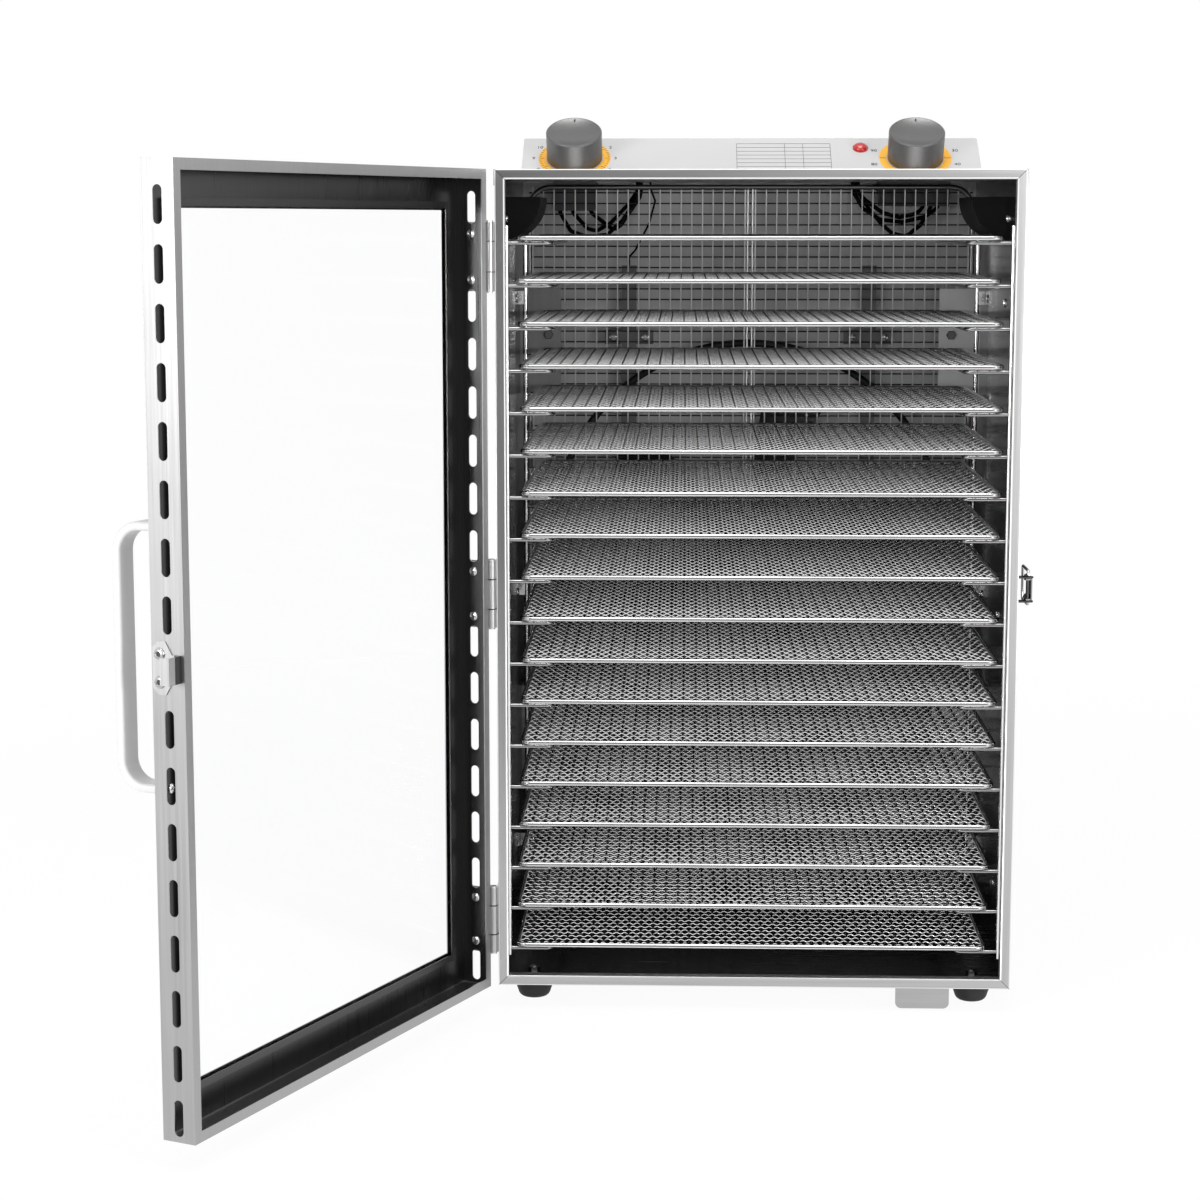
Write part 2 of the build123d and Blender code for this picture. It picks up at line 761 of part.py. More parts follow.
# Tubular heater round the fan, on posts from the back wall
with BuildPart() as heating_element:
    with BuildSketch(Plane.XZ.offset(-heater_y)):
        with Locations((0, z_mid)):
            RegularPolygon(heater_r + heater_rod / 2, 28)
            RegularPolygon(heater_r - heater_rod / 2, 28, mode=Mode.SUBTRACT)
    extrude(amount=heater_rod / 2, both=True)
    with BuildSketch(Plane.XZ.offset(-heater_y - heater_rod / 2)):
        with Locations((0, z_mid)):
            with PolarLocations(heater_r, 4, start_angle=24):
                Rectangle(heater_rod * 0.7, heater_rod * 0.7)
    extrude(amount=-(heater_back - sheet - heater_rod / 2))
heating_element.part.label = "heating_element"
export_step(heating_element.part, "parts/heating_element.step")

# Vented cover over the motor at the back, and the bush of the mains inlet
with BuildPart() as rear_cover:
    with BuildSketch(Plane.XZ.offset(-y_b)):
        with Locations((0, z_mid)):
            Rectangle(cover_w, cover_w)
    extrude(amount=-cover_d)
    with BuildSketch(Plane.XZ.offset(-y_b)):
        with Locations((0, z_mid)):
            Rectangle(cover_w - 2 * con_t, cover_w - 2 * con_t)
    extrude(amount=-(cover_d - con_t), mode=Mode.SUBTRACT)
    with BuildSketch(Plane.XZ.offset(-y_b - cover_d)):
        with Locations((0, z_mid)):
            with GridLocations(0, 4 * vent_h, 1, vent_n):
                Rectangle(cover_w - 2 * vent_side, vent_h)
    extrude(amount=con_t, mode=Mode.SUBTRACT)
rear_cover.part.label = "rear_cover"
export_step(rear_cover.part, "parts/rear_cover.step")

with BuildPart() as cord_inlet:
    with BuildSketch(Plane.XZ.offset(-y_b)):
        with Locations((inlet_x, z0 + inlet_z)):
            Circle(inlet_r)
            Circle(inlet_bore, mode=Mode.SUBTRACT)
    extrude(amount=-inlet_r)
cord_inlet.part.label = "cord_inlet"
export_step(cord_inlet.part, "parts/cord_inlet.step")

# Rubber feet and their bolts through the floor
with BuildPart() as feet:
    with BuildSketch(Plane.XZ):
        with BuildLine():
            low_r = foot_r - foot_taper
            base_r = low_r - foot_round / 2
            recess_r = bolt_head + hole_play
            Polyline(
                (bolt_hole, z0),
                (foot_r, z0),
                (low_r, foot_round),
                (base_r, 0),
                (recess_r, 0),
                (recess_r, foot_round),
                (bolt_hole, foot_round),
                close=True,
            )
        make_face()
    foot = revolve(axis=Axis.Z, mode=Mode.PRIVATE)
    with GridLocations(2 * foot_x, 2 * foot_y, 2, 2):
        add(foot)
feet.part.label = "feet"
export_step(feet.part, "parts/feet.step")

with BuildPart() as foot_bolts:
    with BuildSketch(Plane.XY.offset(bolt_sink)):
        with GridLocations(2 * foot_x, 2 * foot_y, 2, 2):
            RegularPolygon(bolt_head, 6)
    extrude(amount=foot_round - bolt_sink)
    with BuildSketch(Plane.XY.offset(foot_round)):
        with GridLocations(2 * foot_x, 2 * foot_y, 2, 2):
            RegularPolygon(bolt_r, head_n)
    extrude(amount=z0 + sheet + bolt_nut + hole_play - foot_round)
    with BuildSketch(Plane.XY.offset(z0 + sheet)):
        with GridLocations(2 * foot_x, 2 * foot_y, 2, 2):
            RegularPolygon(bolt_head, 6)
    extrude(amount=bolt_nut)
foot_bolts.part.label = "foot_bolts"
export_step(foot_bolts.part, "parts/foot_bolts.step")

# Inside: hex heads on the guard plates, pan heads on the motor rails and on the side walls
bolt_x = x_s - sheet - plate_bolt_in
bolt_z = plate_off + plate_bolt_up
wall_heads = [(y_f + y, z) for y in wall_screw_in for z in lug_z]
with BuildPart() as pan_screws:
    with BuildSketch(Plane.YZ.offset(x_s - sheet)):
        with Locations(*wall_heads):
            RegularPolygon(head_r, head_n)
    extrude(amount=-head_h)
    mirror(about=Plane.YZ)
    with BuildSketch(Plane.XZ.offset(-plate_y + plate_t)):
        with Locations((0, z_mid)):
            with GridLocations(2 * bolt_x, 2 * bolt_z, 2, 2):
                RegularPolygon(plate_bolt_r, 6)
    extrude(amount=plate_bolt_h)
    with BuildSketch(Plane.XZ.offset(-rail_y)):
        for x, z in clip_places:
            with Locations((x - clip_w / 3, z), (x + clip_w / 3, z)):
                RegularPolygon(head_r, head_n)
    extrude(amount=head_h)
pan_screws.part.label = "pan_screws"
export_step(pan_screws.part, "parts/pan_screws.step")

# Hinges: the cabinet leaf has the outer knuckles, the door leaf the middle one
outer_h = (leaf_h - knuckle_h) / 2 - knuckle_gap
with BuildPart() as cabinet_hinge_leaves:
    for z in hinge_z:
        with Locations((-x_s, pin_y + leaf_in, z)):
            Box(leaf_t, leaf_w, leaf_h, align=(Align.MAX, Align.MIN, Align.CENTER))
        for end in (-1, 1):
            knuckle_z = z + end * (leaf_h - outer_h) / 2
            with Locations((pin_x, pin_y, knuckle_z)):
                Cylinder(barrel_r, outer_h)
            with Locations((-x_s, pin_y, knuckle_z)):
                Box(leaf_t, leaf_neck, outer_h, align=(Align.MAX, Align.MIN, Align.CENTER))
        with Locations((pin_x, pin_y, z)):
            Cylinder(pin_r + run_fit, leaf_h, mode=Mode.SUBTRACT)
cabinet_hinge_leaves.part.label = "cabinet_hinge_leaves"
export_step(cabinet_hinge_leaves.part, "parts/cabinet_hinge_leaves.step")

with BuildPart() as hinge_pins:
    for z in hinge_z:
        with Locations((pin_x, pin_y, z)):
            Cylinder(pin_r, leaf_h)
        end_z = (leaf_h + pin_head) / 2
        with Locations((pin_x, pin_y, z - end_z), (pin_x, pin_y, z + end_z)):
            Cylinder(pin_r + pin_head, pin_head)
hinge_pins.part.label = "hinge_pins"
export_step(hinge_pins.part, "parts/hinge_pins.step")

hinge_axis = Axis((pin_x, pin_y, 0), (0, 0, 1))
with BuildPart() as door_hinge_leaves:
    for z in hinge_z:
        with Locations((door_x, pin_y - leaf_off, z)):
            Box(leaf_t, leaf_w, leaf_h, align=(Align.MAX, Align.MAX, Align.CENTER))
        with Locations((door_x, pin_y - neck_in, z)):
            Box(leaf_t, leaf_neck, knuckle_h, align=(Align.MAX, Align.MAX, Align.CENTER))
        with Locations((pin_x, pin_y, z)):
            Cylinder(barrel_r, knuckle_h)
            Cylinder(pin_r + run_fit, leaf_h, mode=Mode.SUBTRACT)
open_door_leaves = door_hinge_leaves.part.rotate(hinge_axis, -door_open)
open_door_leaves.label = "door_hinge_leaves"
export_step(open_door_leaves, "parts/door_hinge_leaves.step")

# Door: a folded tray of sheet with a window, vent slots in both edges and an inner lip
win_w = door_w - 2 * win_side
win_h = door_h - 2 * win_end
slot_mid = y_in - door_t / 2
with BuildPart() as door_frame:
    with BuildSketch(Plane.XZ.offset(-y_in)):
        with Locations((0, door_z)):
            Rectangle(door_w, door_h)
    extrude(amount=door_t)
    with BuildSketch(Plane.XZ.offset(-y_in + sheet)):
        with Locations((0, door_z)):
            Rectangle(door_w - 2 * sheet, door_h - 2 * sheet)
    extrude(amount=door_t - 2 * sheet, mode=Mode.SUBTRACT)
    with BuildSketch(Plane.XZ.offset(-y_in)):
        with Locations((0, door_z)):
            Rectangle(door_w - 2 * door_lip, door_h - 2 * door_lip)
    extrude(amount=sheet, mode=Mode.SUBTRACT)
    with BuildSketch(Plane.XZ.offset(-y_out - sheet)):
        with Locations((0, door_z)):
            Rectangle(win_w, win_h)
    extrude(amount=sheet, mode=Mode.SUBTRACT)
    free_rows = [(slot_mid, z) for row, z in enumerate(slot_z) if row != slot_n // 2]
    hinge_rows = [(slot_mid, z) for row, z in enumerate(slot_z) if row not in hinge_at]
    for edge_x, rows in ((door_w / 2 - sheet, free_rows), (door_x, hinge_rows)):
        with BuildSketch(Plane.YZ.offset(edge_x)):
            with Locations(*rows):
                Rectangle(slot_w, slot_l)
            chamfer(vertices(), slot_round * bend_1)
            chamfer(vertices(), slot_round * bend_2)
        extrude(amount=sheet, mode=Mode.SUBTRACT)
open_door_frame = door_frame.part.rotate(hinge_axis, -door_open)
open_door_frame.label = "door_frame"
export_step(open_door_frame, "parts/door_frame.step")

glass_y = y_out + sheet
with BuildPart() as door_glass:
    with BuildSketch(Plane.XZ.offset(-glass_y)):
        with Locations((0, door_z)):
            Rectangle(win_w + 2 * glass_lap, win_h + 2 * glass_lap)
    extrude(amount=-glass_t)
open_door_glass = door_glass.part.rotate(hinge_axis, -door_open)
open_door_glass.label = "door_glass"
export_step(open_door_glass, "parts/door_glass.step")

# Stepped strip that holds the pane against the outer face
hold_out_w = win_w + 2 * glass_lap + 2 * hold_w
hold_out_h = win_h + 2 * glass_lap + 2 * hold_w
with BuildPart() as glass_retainer:
    with BuildSketch(Plane.XZ.offset(-glass_y - glass_t)):
        with Locations((0, door_z)):
            Rectangle(hold_out_w, hold_out_h)
            Rectangle(win_w + hold_w, win_h + hold_w, mode=Mode.SUBTRACT)
    extrude(amount=-hold_t)
    with BuildSketch(Plane.XZ.offset(-glass_y)):
        with Locations((0, door_z)):
            Rectangle(hold_out_w, hold_out_h)
            Rectangle(hold_out_w - 2 * hold_t, hold_out_h - 2 * hold_t, mode=Mode.SUBTRACT)
    extrude(amount=-glass_t)
open_glass_retainer = glass_retainer.part.rotate(hinge_axis, -door_open)
open_glass_retainer.label = "glass_retainer"
export_step(open_glass_retainer, "parts/glass_retainer.step")

# Bow handle near the free edge, with its screws inside the door
bow_x = door_w / 2 - bow_in
bow_z = z0 + door_h - bow_down
with BuildPart() as door_handle:
    with BuildSketch(Plane.YZ.offset(bow_x - bow_w / 2)):
        with Locations((y_out - bow_d / 2, bow_z)):
            Rectangle(bow_d, bow_l)
        fillet(vertices().group_by(Axis.X)[0], bow_r)
    extrude(amount=bow_w)
    with BuildSketch(Plane.YZ.offset(bow_x - bow_w / 2)):
        with Locations((y_out - (bow_d - bow_t) / 2, bow_z)):
            Rectangle(bow_d - bow_t, bow_l - 2 * bow_leg)
        fillet(vertices().group_by(Axis.X)[0], bow_r - bow_t)
    extrude(amount=bow_w, mode=Mode.SUBTRACT)
open_door_handle = door_handle.part.rotate(hinge_axis, -door_open)
open_door_handle.label = "door_handle"
export_step(open_door_handle, "parts/door_handle.step")

# Screw heads on the inner side of the door: two at each hinge and two behind the handle
bow_end = (bow_l - bow_leg) / 2
with BuildPart() as door_screws:
    with BuildSketch(Plane.YZ.offset(door_x + sheet)):
        for z in hinge_z:
            with Locations((slot_mid, z - leaf_h / 3), (slot_mid, z + leaf_h / 3)):
                RegularPolygon(head_r, head_n)
    extrude(amount=head_h)
    with BuildSketch(Plane.XZ.offset(-y_out - sheet)):
        with Locations((bow_x, bow_z - bow_end), (bow_x, bow_z + bow_end)):
            RegularPolygon(head_r, head_n)
    extrude(amount=-head_h)
open_door_screws = door_screws.part.rotate(hinge_axis, -door_open)
open_door_screws.label = "door_screws"
export_step(open_door_screws, "parts/door_screws.step")

# Keeper on the door's free edge: riveted plate with a hook turned back for the bail
with BuildPart() as keeper:
    with BuildSketch(Plane.YZ.offset(keep_x)):
        with BuildLine():
            pad_y = keep_y - keep_l
            half_plate = [
                (pad_y, pad_h / 2 - pad_r),
                (pad_y + pad_r, pad_h / 2),
                (pad_y + pad_l, pad_h / 2),
                (pad_y + pad_l + pad_slope, hook_h / 2),
                (keep_y, hook_h / 2),
            ]
            upper = [(y, latch_z + z) for y, z in half_plate]
            lower = [(y, latch_z - z) for y, z in reversed(half_plate)]
            Polyline(*upper, *lower, close=True)
        make_face()
    extrude(amount=latch_t)
    with BuildSketch(Plane.XY.offset(latch_z - hook_h / 2)):
        with Locations((keep_x, keep_y)):
            Rectangle(hook_out + latch_t, latch_t, align=(Align.MIN, Align.MAX))
        with Locations((keep_x + hook_out, keep_y)):
            Rectangle(latch_t, hook_lip, align=(Align.MIN, Align.MAX))
    extrude(amount=hook_h)
    with BuildSketch(Plane.YZ.offset(keep_x + latch_t)):
        with Locations((y_in - rivet_in, latch_z - rivet_z), (y_in - rivet_in, latch_z + rivet_z)):
            Circle(rivet_r)
    extrude(amount=rivet_h)
open_keeper = keeper.part.rotate(hinge_axis, -door_open)
open_keeper.label = "keeper"
export_step(open_keeper, "parts/keeper.step")

# Toggle latch on the right wall: base with ears and pin, lever and wire bail
with BuildPart() as latch_base:
    with Locations((x_s, lever_y - base_over, latch_z)):
        Box(latch_t, base_l, base_h, align=(Align.MIN, Align.MIN, Align.CENTER))
    for ear_plane, ear_t in ((latch_z + ear_z, latch_t), (latch_z - ear_z, -latch_t)):
        with BuildSketch(Plane.XY.offset(ear_plane)):
            with Locations((x_s, lever_y)):
                Rectangle(lever_out, 2 * ear_r, align=(Align.MIN, Align.CENTER))
            with Locations((lever_x, lever_y)):
                Circle(ear_r)
        extrude(amount=ear_t)
    with Locations((lever_x, lever_y, latch_z)):
        Cylinder(lever_pin, 2 * ear_z + 2 * latch_t)
latch_base.part.label = "latch_base"
export_step(latch_base.part, "parts/latch_base.step")

# Lever: a channel folded from sheet, with a turned-up end for the finger
with BuildPart() as latch_lever:
    with BuildSketch(Plane.XY.offset(latch_z - lever_w / 2)):
        with BuildLine():
            Polyline(
                (lever_x - lever_nose, lever_y),
                (lever_x + lever_nose + latch_t / 2, lever_y - lever_nose / 2),
                (lever_x + lever_nose + latch_t / 2, lever_y + lever_l * 0.8),
                (lever_x + 2 * lever_nose, lever_y + lever_l),
                (lever_x + 2 * lever_nose - latch_t, lever_y + lever_l),
                (lever_x + lever_nose / 3, lever_y + lever_l * 0.74),
                (lever_x - lever_nose * 0.7, lever_y + lever_l * 0.37),
                close=True,
            )
        make_face()
        with Locations((lever_x, lever_y)):
            Circle(lever_nose)
    extrude(amount=lever_w)
    with BuildSketch(Plane.XY.offset(latch_z - lever_w / 2 + latch_t)):
        with BuildLine():
            Polyline(
                (lever_x - ear_r, lever_y - ear_r),
                (lever_x + lever_nose - latch_t / 2, lever_y - ear_r),
                (lever_x + lever_nose - latch_t / 2, lever_y + lever_l * 0.8),
                (lever_x + 2 * lever_nose - latch_t, lever_y + lever_l * 1.03),
                (lever_x - ear_r, lever_y + lever_l * 1.03),
                close=True,
            )
        make_face()
    extrude(amount=lever_w - 2 * latch_t, mode=Mode.SUBTRACT)
    with Locations((lever_x, lever_y, latch_z)):
        Cylinder(lever_pin + run_fit, 2 * lever_w, mode=Mode.SUBTRACT)
    with Locations((bail_x, bail_y, latch_z)):
        Cylinder(bail_r + run_fit, 2 * lever_w, mode=Mode.SUBTRACT)
latch_lever.part.label = "latch_lever"
export_step(latch_lever.part, "parts/latch_lever.step")

with BuildPart() as latch_bail:
    with BuildLine() as bail:
        half_w = bail_w / 2
        Polyline(
            (bail_x, bail_y, latch_z - bail_end),
            (bail_x, bail_y, latch_z - half_w + bail_bend),
            (bail_x, bail_y + bail_bend, latch_z - half_w),
            (bail_x, bail_y + bail_l - bail_bend, latch_z - half_w),
            (bail_x, bail_y + bail_l, latch_z - half_w + bail_bend),
            (bail_x, bail_y + bail_l, latch_z + half_w - bail_bend),
            (bail_x, bail_y + bail_l - bail_bend, latch_z + half_w),
            (bail_x, bail_y + bail_bend, latch_z + half_w),
            (bail_x, bail_y, latch_z + half_w - bail_bend),
            (bail_x, bail_y, latch_z + bail_end),
        )
    with BuildSketch(Plane(origin=bail.line @ 0, z_dir=bail.line % 0)):
        RegularPolygon(bail_r, 8)
    sweep(path=bail.line, transition=Transition.RIGHT)
latch_bail.part.label = "latch_bail"
export_step(latch_bail.part, "parts/latch_bail.step")
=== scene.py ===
import json
from math import cos, pi, radians, sin

import bpy
from mathutils import Matrix, Vector


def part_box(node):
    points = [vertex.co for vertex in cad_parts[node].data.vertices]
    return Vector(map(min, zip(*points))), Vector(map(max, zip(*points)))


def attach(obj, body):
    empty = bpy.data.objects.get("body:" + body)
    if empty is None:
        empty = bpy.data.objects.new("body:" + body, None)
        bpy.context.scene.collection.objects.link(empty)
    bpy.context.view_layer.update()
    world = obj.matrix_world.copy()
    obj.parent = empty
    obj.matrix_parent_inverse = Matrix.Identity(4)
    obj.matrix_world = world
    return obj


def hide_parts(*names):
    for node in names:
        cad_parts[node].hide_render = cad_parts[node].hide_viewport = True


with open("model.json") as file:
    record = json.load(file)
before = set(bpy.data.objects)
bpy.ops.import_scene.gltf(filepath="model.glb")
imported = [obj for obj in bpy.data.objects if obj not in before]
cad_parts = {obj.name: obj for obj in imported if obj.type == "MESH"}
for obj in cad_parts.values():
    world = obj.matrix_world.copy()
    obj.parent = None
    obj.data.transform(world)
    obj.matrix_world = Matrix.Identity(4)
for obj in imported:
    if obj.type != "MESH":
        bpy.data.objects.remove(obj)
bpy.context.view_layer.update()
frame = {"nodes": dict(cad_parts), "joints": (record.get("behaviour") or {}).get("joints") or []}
nodes = frame["nodes"]
joints = {joint["name"]: joint for joint in frame["joints"]}
scene = bpy.context.scene
MM = 0.001

# Camera, at the height of the upper trays and looking slightly down
CAMERA_AT = (-0.06105, -2.3277, 0.65803)
CAMERA_PITCH = 8.201
CAMERA_YAW = 1.828
CAMERA_LENS = 78.54
CAMERA_SENSOR = 36

# Stage: lamps with their place, aim, size and watts, and where the floor turns plain white
LAMPS = {
    "left_lamp": ((-1.9, -2.5, 0.75), (0, -0.2, 0.35), (1.0, 0.8), 50),
    "right_lamp": ((1.9, -2.5, 0.75), (0, -0.2, 0.35), (1.0, 0.8), 45),
    "top_lamp": ((0, -0.6, 2.3), (0, -0.1, 0.7), (1.2, 1.2), 25),
}
FLOOR_SPAN = 18
FAR_FROM = 0.8
FAR_RUN = 0.9
FLOOR_SHADOW = 0.06

# Cabinet, in metres: half width, front plane, back plane, floor sheet and top
SIDE_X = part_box("side_panel_right")[1].x
FRONT_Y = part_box("front_frame")[0].y
BACK_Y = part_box("back_panel")[1].y
FLOOR_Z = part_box("front_frame")[0].z
TOP_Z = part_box("front_frame")[1].z
MID_Z = (FLOOR_Z + TOP_Z) / 2
SHEET = 1.0 * MM
FLANGE_W = 8.4 * MM
LIP_D = 9 * MM
EDGE_R = 0.5 * MM
BEND_R = 1.5 * MM
SEAM_HALF = 0.3 * MM
FLANGE_SHADE_FROM = 80 * MM
FLANGE_SHADE_RUN = 300 * MM
PAN_DROP = 4.5 * MM

# Tray: rod rim, crimped cross wires that show as bright rows, and straighter wires from front to back
TRAY_ROD = 4.2 * MM
TRAY_CORNER = 10 * MM
TRAY_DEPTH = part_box("tray_01")[1].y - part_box("tray_01")[0].y
MESH_PITCH = 10.4 * MM
ROW_WIRE = 0.95 * MM
ROW_RISE = 0.7 * MM
ROW_CRIMPS = 1.5
ROW_STEPS = 5
DEEP_WIRE = 1.4 * MM
DEEP_LIFT = 0.4 * MM
DEEP_RISE = 0.6 * MM
DEEP_STEPS = 4

# Rack wires, their wall lugs and the rear guard
RACK_ROD = 4.4 * MM
RACK_WALL = 7.2 * MM
SHELF_ROD = 3.3 * MM
SHELF_IN = 38 * MM
SHELF_BEND = 7 * MM
SHELF_DROP = 0.3 * MM
LUG_UP = (60.2 * MM, 299.9 * MM, 569.8 * MM)
LUG_H = 12 * MM
LUG_T = 3 * MM
LUG_BEVEL = 0.4 * MM
WALL_SCREW_IN = (125 * MM, 255 * MM)
GUARD_ROD = 5 * MM
GUARD_WIRE = 1.4 * MM
GUARD_PITCH = 9.85 * MM
GUARD_CORNER = 20 * MM
STAY_R = 1.0 * MM
STAY_X = 2.2 * MM
PLATE_BOLT_X = 187.4 * MM
PLATE_BOLT_Z = 194 * MM
PLATE_BOLT_R = 4.6 * MM
PLATE_BOLT_H = 3 * MM
RAIL_X = 113 * MM
CLIP_Z = 190 * MM
CLIP_SCREW = 15.3 * MM
HEATER_ROD = 7 * MM
HEATER_POST_R = 2.4 * MM
HEATER_POST_TURN = radians(24)

# Height from which the bay behind the trays is painted as open to the light; below it comes painted shade
SHADE_FROM = MID_Z + 20 * MM
SHADE_RUN = 80 * MM

# Slots of the rear cover and the louvre blade behind each
COVER_T = 1.2 * MM
SLOT_SIDE = 22 * MM
SLOT_H = 4 * MM
SLOT_PITCH = 16 * MM
SLOT_ROWS = 6
BLADE_D = 4 * MM
BLADE_DROP = 7.5 * MM
BLADE_T = 0.8 * MM

# Carry cup nuts
NUT_Y = 67 * MM
NUT_DOWN = 39.5 * MM
NUT_R = 4 * MM
NUT_H = 3 * MM
NUT_FOOT = 0.6 * MM

# Leads behind the guard, in mm as in the solid: start across, points across and down, end across
LEAD_R = 1.9
THIN_LEAD_R = 0.9
LEAD_BEND = 5
THIN_LEAD_BEND = 3
LEAD_LOW = 6
LEAD_STUB = 8
LEAD_BACK = 37
LEAD_STEP = 6
SWITCH_L = (46, 41)
TIMER_LEADS = [
    (-15, [(-4.3, 45.2), (11.4, 50.5), (30.4, 48.5), (44.4, 35.5), (57.4, 15.5)], 59.4),
    (-3, [(11.7, 43.3), (20.4, 45), (33.4, 37.5), (50, 20)], 58.4),
    (14, [(35.7, 44.5), (42.9, 39.5), (60.4, 13.5)], 61.4),
]
THERMOSTAT_LEADS = [
    (10, [(2.6, 29), (-12.6, 32.6), (-28.4, 28.5), (-44.4, 17)], -53.4),
    (24, [(11.2, 32), (-10.2, 37), (-30.4, 34.5), (-46.4, 24.5)], -56.4),
    (17, [(7.6, 40), (-5.4, 50), (-18.4, 47.5), (-29.4, 38), (-44.4, 19.5)], -51.4),
]
MOTOR_LEAD = [(20, 0), (20, 6), (24.5, 17), (19, 38), (6, 63)]

# Console panel: slope, dials, lamp and the ruled table
PANEL_TILT = radians(33)
PANEL_T = 1.2 * MM
PANEL_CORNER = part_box("control_panel")[1]
PANEL_TOP = Vector((0, PANEL_CORNER.y - PANEL_T * sin(PANEL_TILT), PANEL_CORNER.z))
DIAL_X = (-163.4 * MM, 152.4 * MM)
DIAL_S = 35 * MM
RING_IN = 26.5 * MM
RING_OUT = 33.5 * MM
KNOB_R = 25.8 * MM
KNOB_GAP = 1.0 * MM
KNOB_H = 27.45 * MM
KNOB_BEVEL = 1.1 * MM
KNOB_FOOT = 0.5 * MM
KNOB_RIM = 2.2 * MM
KNOB_RIM_DROP = 0.1 * MM
KNOB_DISH = 0.4 * MM
KNOB_DISH_IN = 2.6 * MM
POINTER_HALF = 0.8 * MM
POINTER_IN = (8 * MM, 3 * MM)
POINTER_DEEP = 1 * MM
POINTER_LIFT = 0.05 * MM
POINTER_BEVEL = 0.1 * MM
LAMP_X = 102.5 * MM
LAMP_S = 18 * MM
LAMP_R = 7.2 * MM
LAMP_H = 4.9 * MM
LAMP_NECK = 1.2 * MM
LAMP_DOME = 0.9
PRINT_T = 0.15 * MM
MARK_W = 0.5 * MM
MARK_IN = 0.5 * MM
MARK_BEVEL = 0.02 * MM
MARK_LONG = 4.5 * MM
MARK_SHORT = 2.2 * MM
HEAT_MARK = 6 * MM
HEAT_MARK_TURNS = (30, 90, 210, 270)
NUMBER_H = 6 * MM
NUMBER_OFF = 4.5 * MM
HEAT_NUMBER_OUT = 2 * MM
HEAT_FIRST = 20
HEAT_SWEEP = 220
TABLE_X = (-12.7 * MM, 32 * MM, 49 * MM, 74.5 * MM)
TABLE_S = 9.7 * MM
TABLE_ROW = 6.65 * MM
TABLE_ROWS = 8
TABLE_LINE = 0.45 * MM

# Feet
FOOT_R = 17.5 * MM
FOOT_LOW_R = 14.4 * MM
FOOT_H = 20 * MM
FOOT_EDGE = ((4.5, 0), (3.2, 0.5), (1.8, 1.7), (0.8, 3.4), (0, 6))
FOOT_BELLY = 0.9 * MM
FOOT_LIP = 0.5 * MM
FOOT_LIP_IN = 0.4 * MM

# Door: hinge line and how far it stands open
HINGE = Vector(joints["door_hinge"]["pos_m"])
DOOR_OPEN = radians(-joints["door_hinge"]["range_deg"][0])
DOOR_W = 431 * MM
DOOR_T = 27 * MM
DOOR_GAP = 2 * MM
BOW_IN = 18 * MM
BOW_L = 194.5 * MM
BOW_OUT = 38.5 * MM
BOW_T = 6.5 * MM
BOW_W = 18 * MM
BOW_CORNER = 22 * MM
BOW_LEG = 11 * MM
BOW_ROUND = 2.4 * MM
LEAF_H = 56 * MM
KNUCKLE_H = 24.8 * MM
KNUCKLE_JOINT = 0.5 * MM
HINGE_LOW, HINGE_HIGH = [corner.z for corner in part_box("cabinet_hinge_leaves")]
HINGE_Z = (HINGE_LOW + LEAF_H / 2, (HINGE_LOW + HINGE_HIGH) / 2, HINGE_HIGH - LEAF_H / 2)
KEEPER_T = 1.2 * MM
HOOK_D = 7.5 * MM
RIVET_IN = 19.5 * MM
RIVET_Z = 9.8 * MM
RIVET_R = 4.4 * MM
RIVET_RIM = ((1, 0), (1, 0.5), (0.92, 1.2), (0.7, 1.8), (0.5, 2.0), (0.42, 1.6), (0.023, 1.55))
# Black disc that stands in for the shade in each rivet hole, as painted shade
RIVET_HOLE_SHADE = ((0.4, 1.5), (0.4, 1.7), (0.023, 1.7))

DOOR_Y_IN = FRONT_Y - DOOR_GAP
DOOR_Y_OUT = DOOR_Y_IN - DOOR_T
DOOR_SWING = Matrix.Rotation(-DOOR_OPEN, 4, "Z")
DOOR_PLACE = Matrix.Translation(HINGE) @ DOOR_SWING @ Matrix.Translation(-HINGE)

# Latch bail
BAIL_R = 1.25 * MM
BAIL_END = 5.5 * MM
BAIL_BEND = 3 * MM

# Cross head screws
HEAD_R = 3.7 * MM
HEAD_H = 1.6 * MM


class Value:
    """A shader socket; arithmetic on values adds Math nodes."""

    def __init__(self, finish, socket):
        self.finish = finish
        self.socket = socket

    def math(self, operation, first, second=0.0):
        return self.finish.node("ShaderNodeMath", {"operation": operation}, {0: first, 1: second})

    def __add__(self, other):
        return self.math("ADD", self, other)

    def __radd__(self, other):
        return self.math("ADD", other, self)

    def __sub__(self, other):
        return self.math("SUBTRACT", self, other)

    def __rsub__(self, other):
        return self.math("SUBTRACT", other, self)

    def __mul__(self, other):
        return self.math("MULTIPLY", self, other)

    def __rmul__(self, other):
        return self.math("MULTIPLY", other, self)

    def __truediv__(self, other):
        return self.math("DIVIDE", self, other)

    def __pow__(self, other):
        return self.math("POWER", self, other)

    def __gt__(self, other):
        return self.math("GREATER_THAN", self, other)

    def __lt__(self, other):
        return self.math("LESS_THAN", self, other)

    def __abs__(self):
        return self.math("ABSOLUTE", self)

    def clamped(self):
        """The value held between 0 and 1."""
        return self.math("MINIMUM", self.math("MAXIMUM", self, 0.0), 1.0)


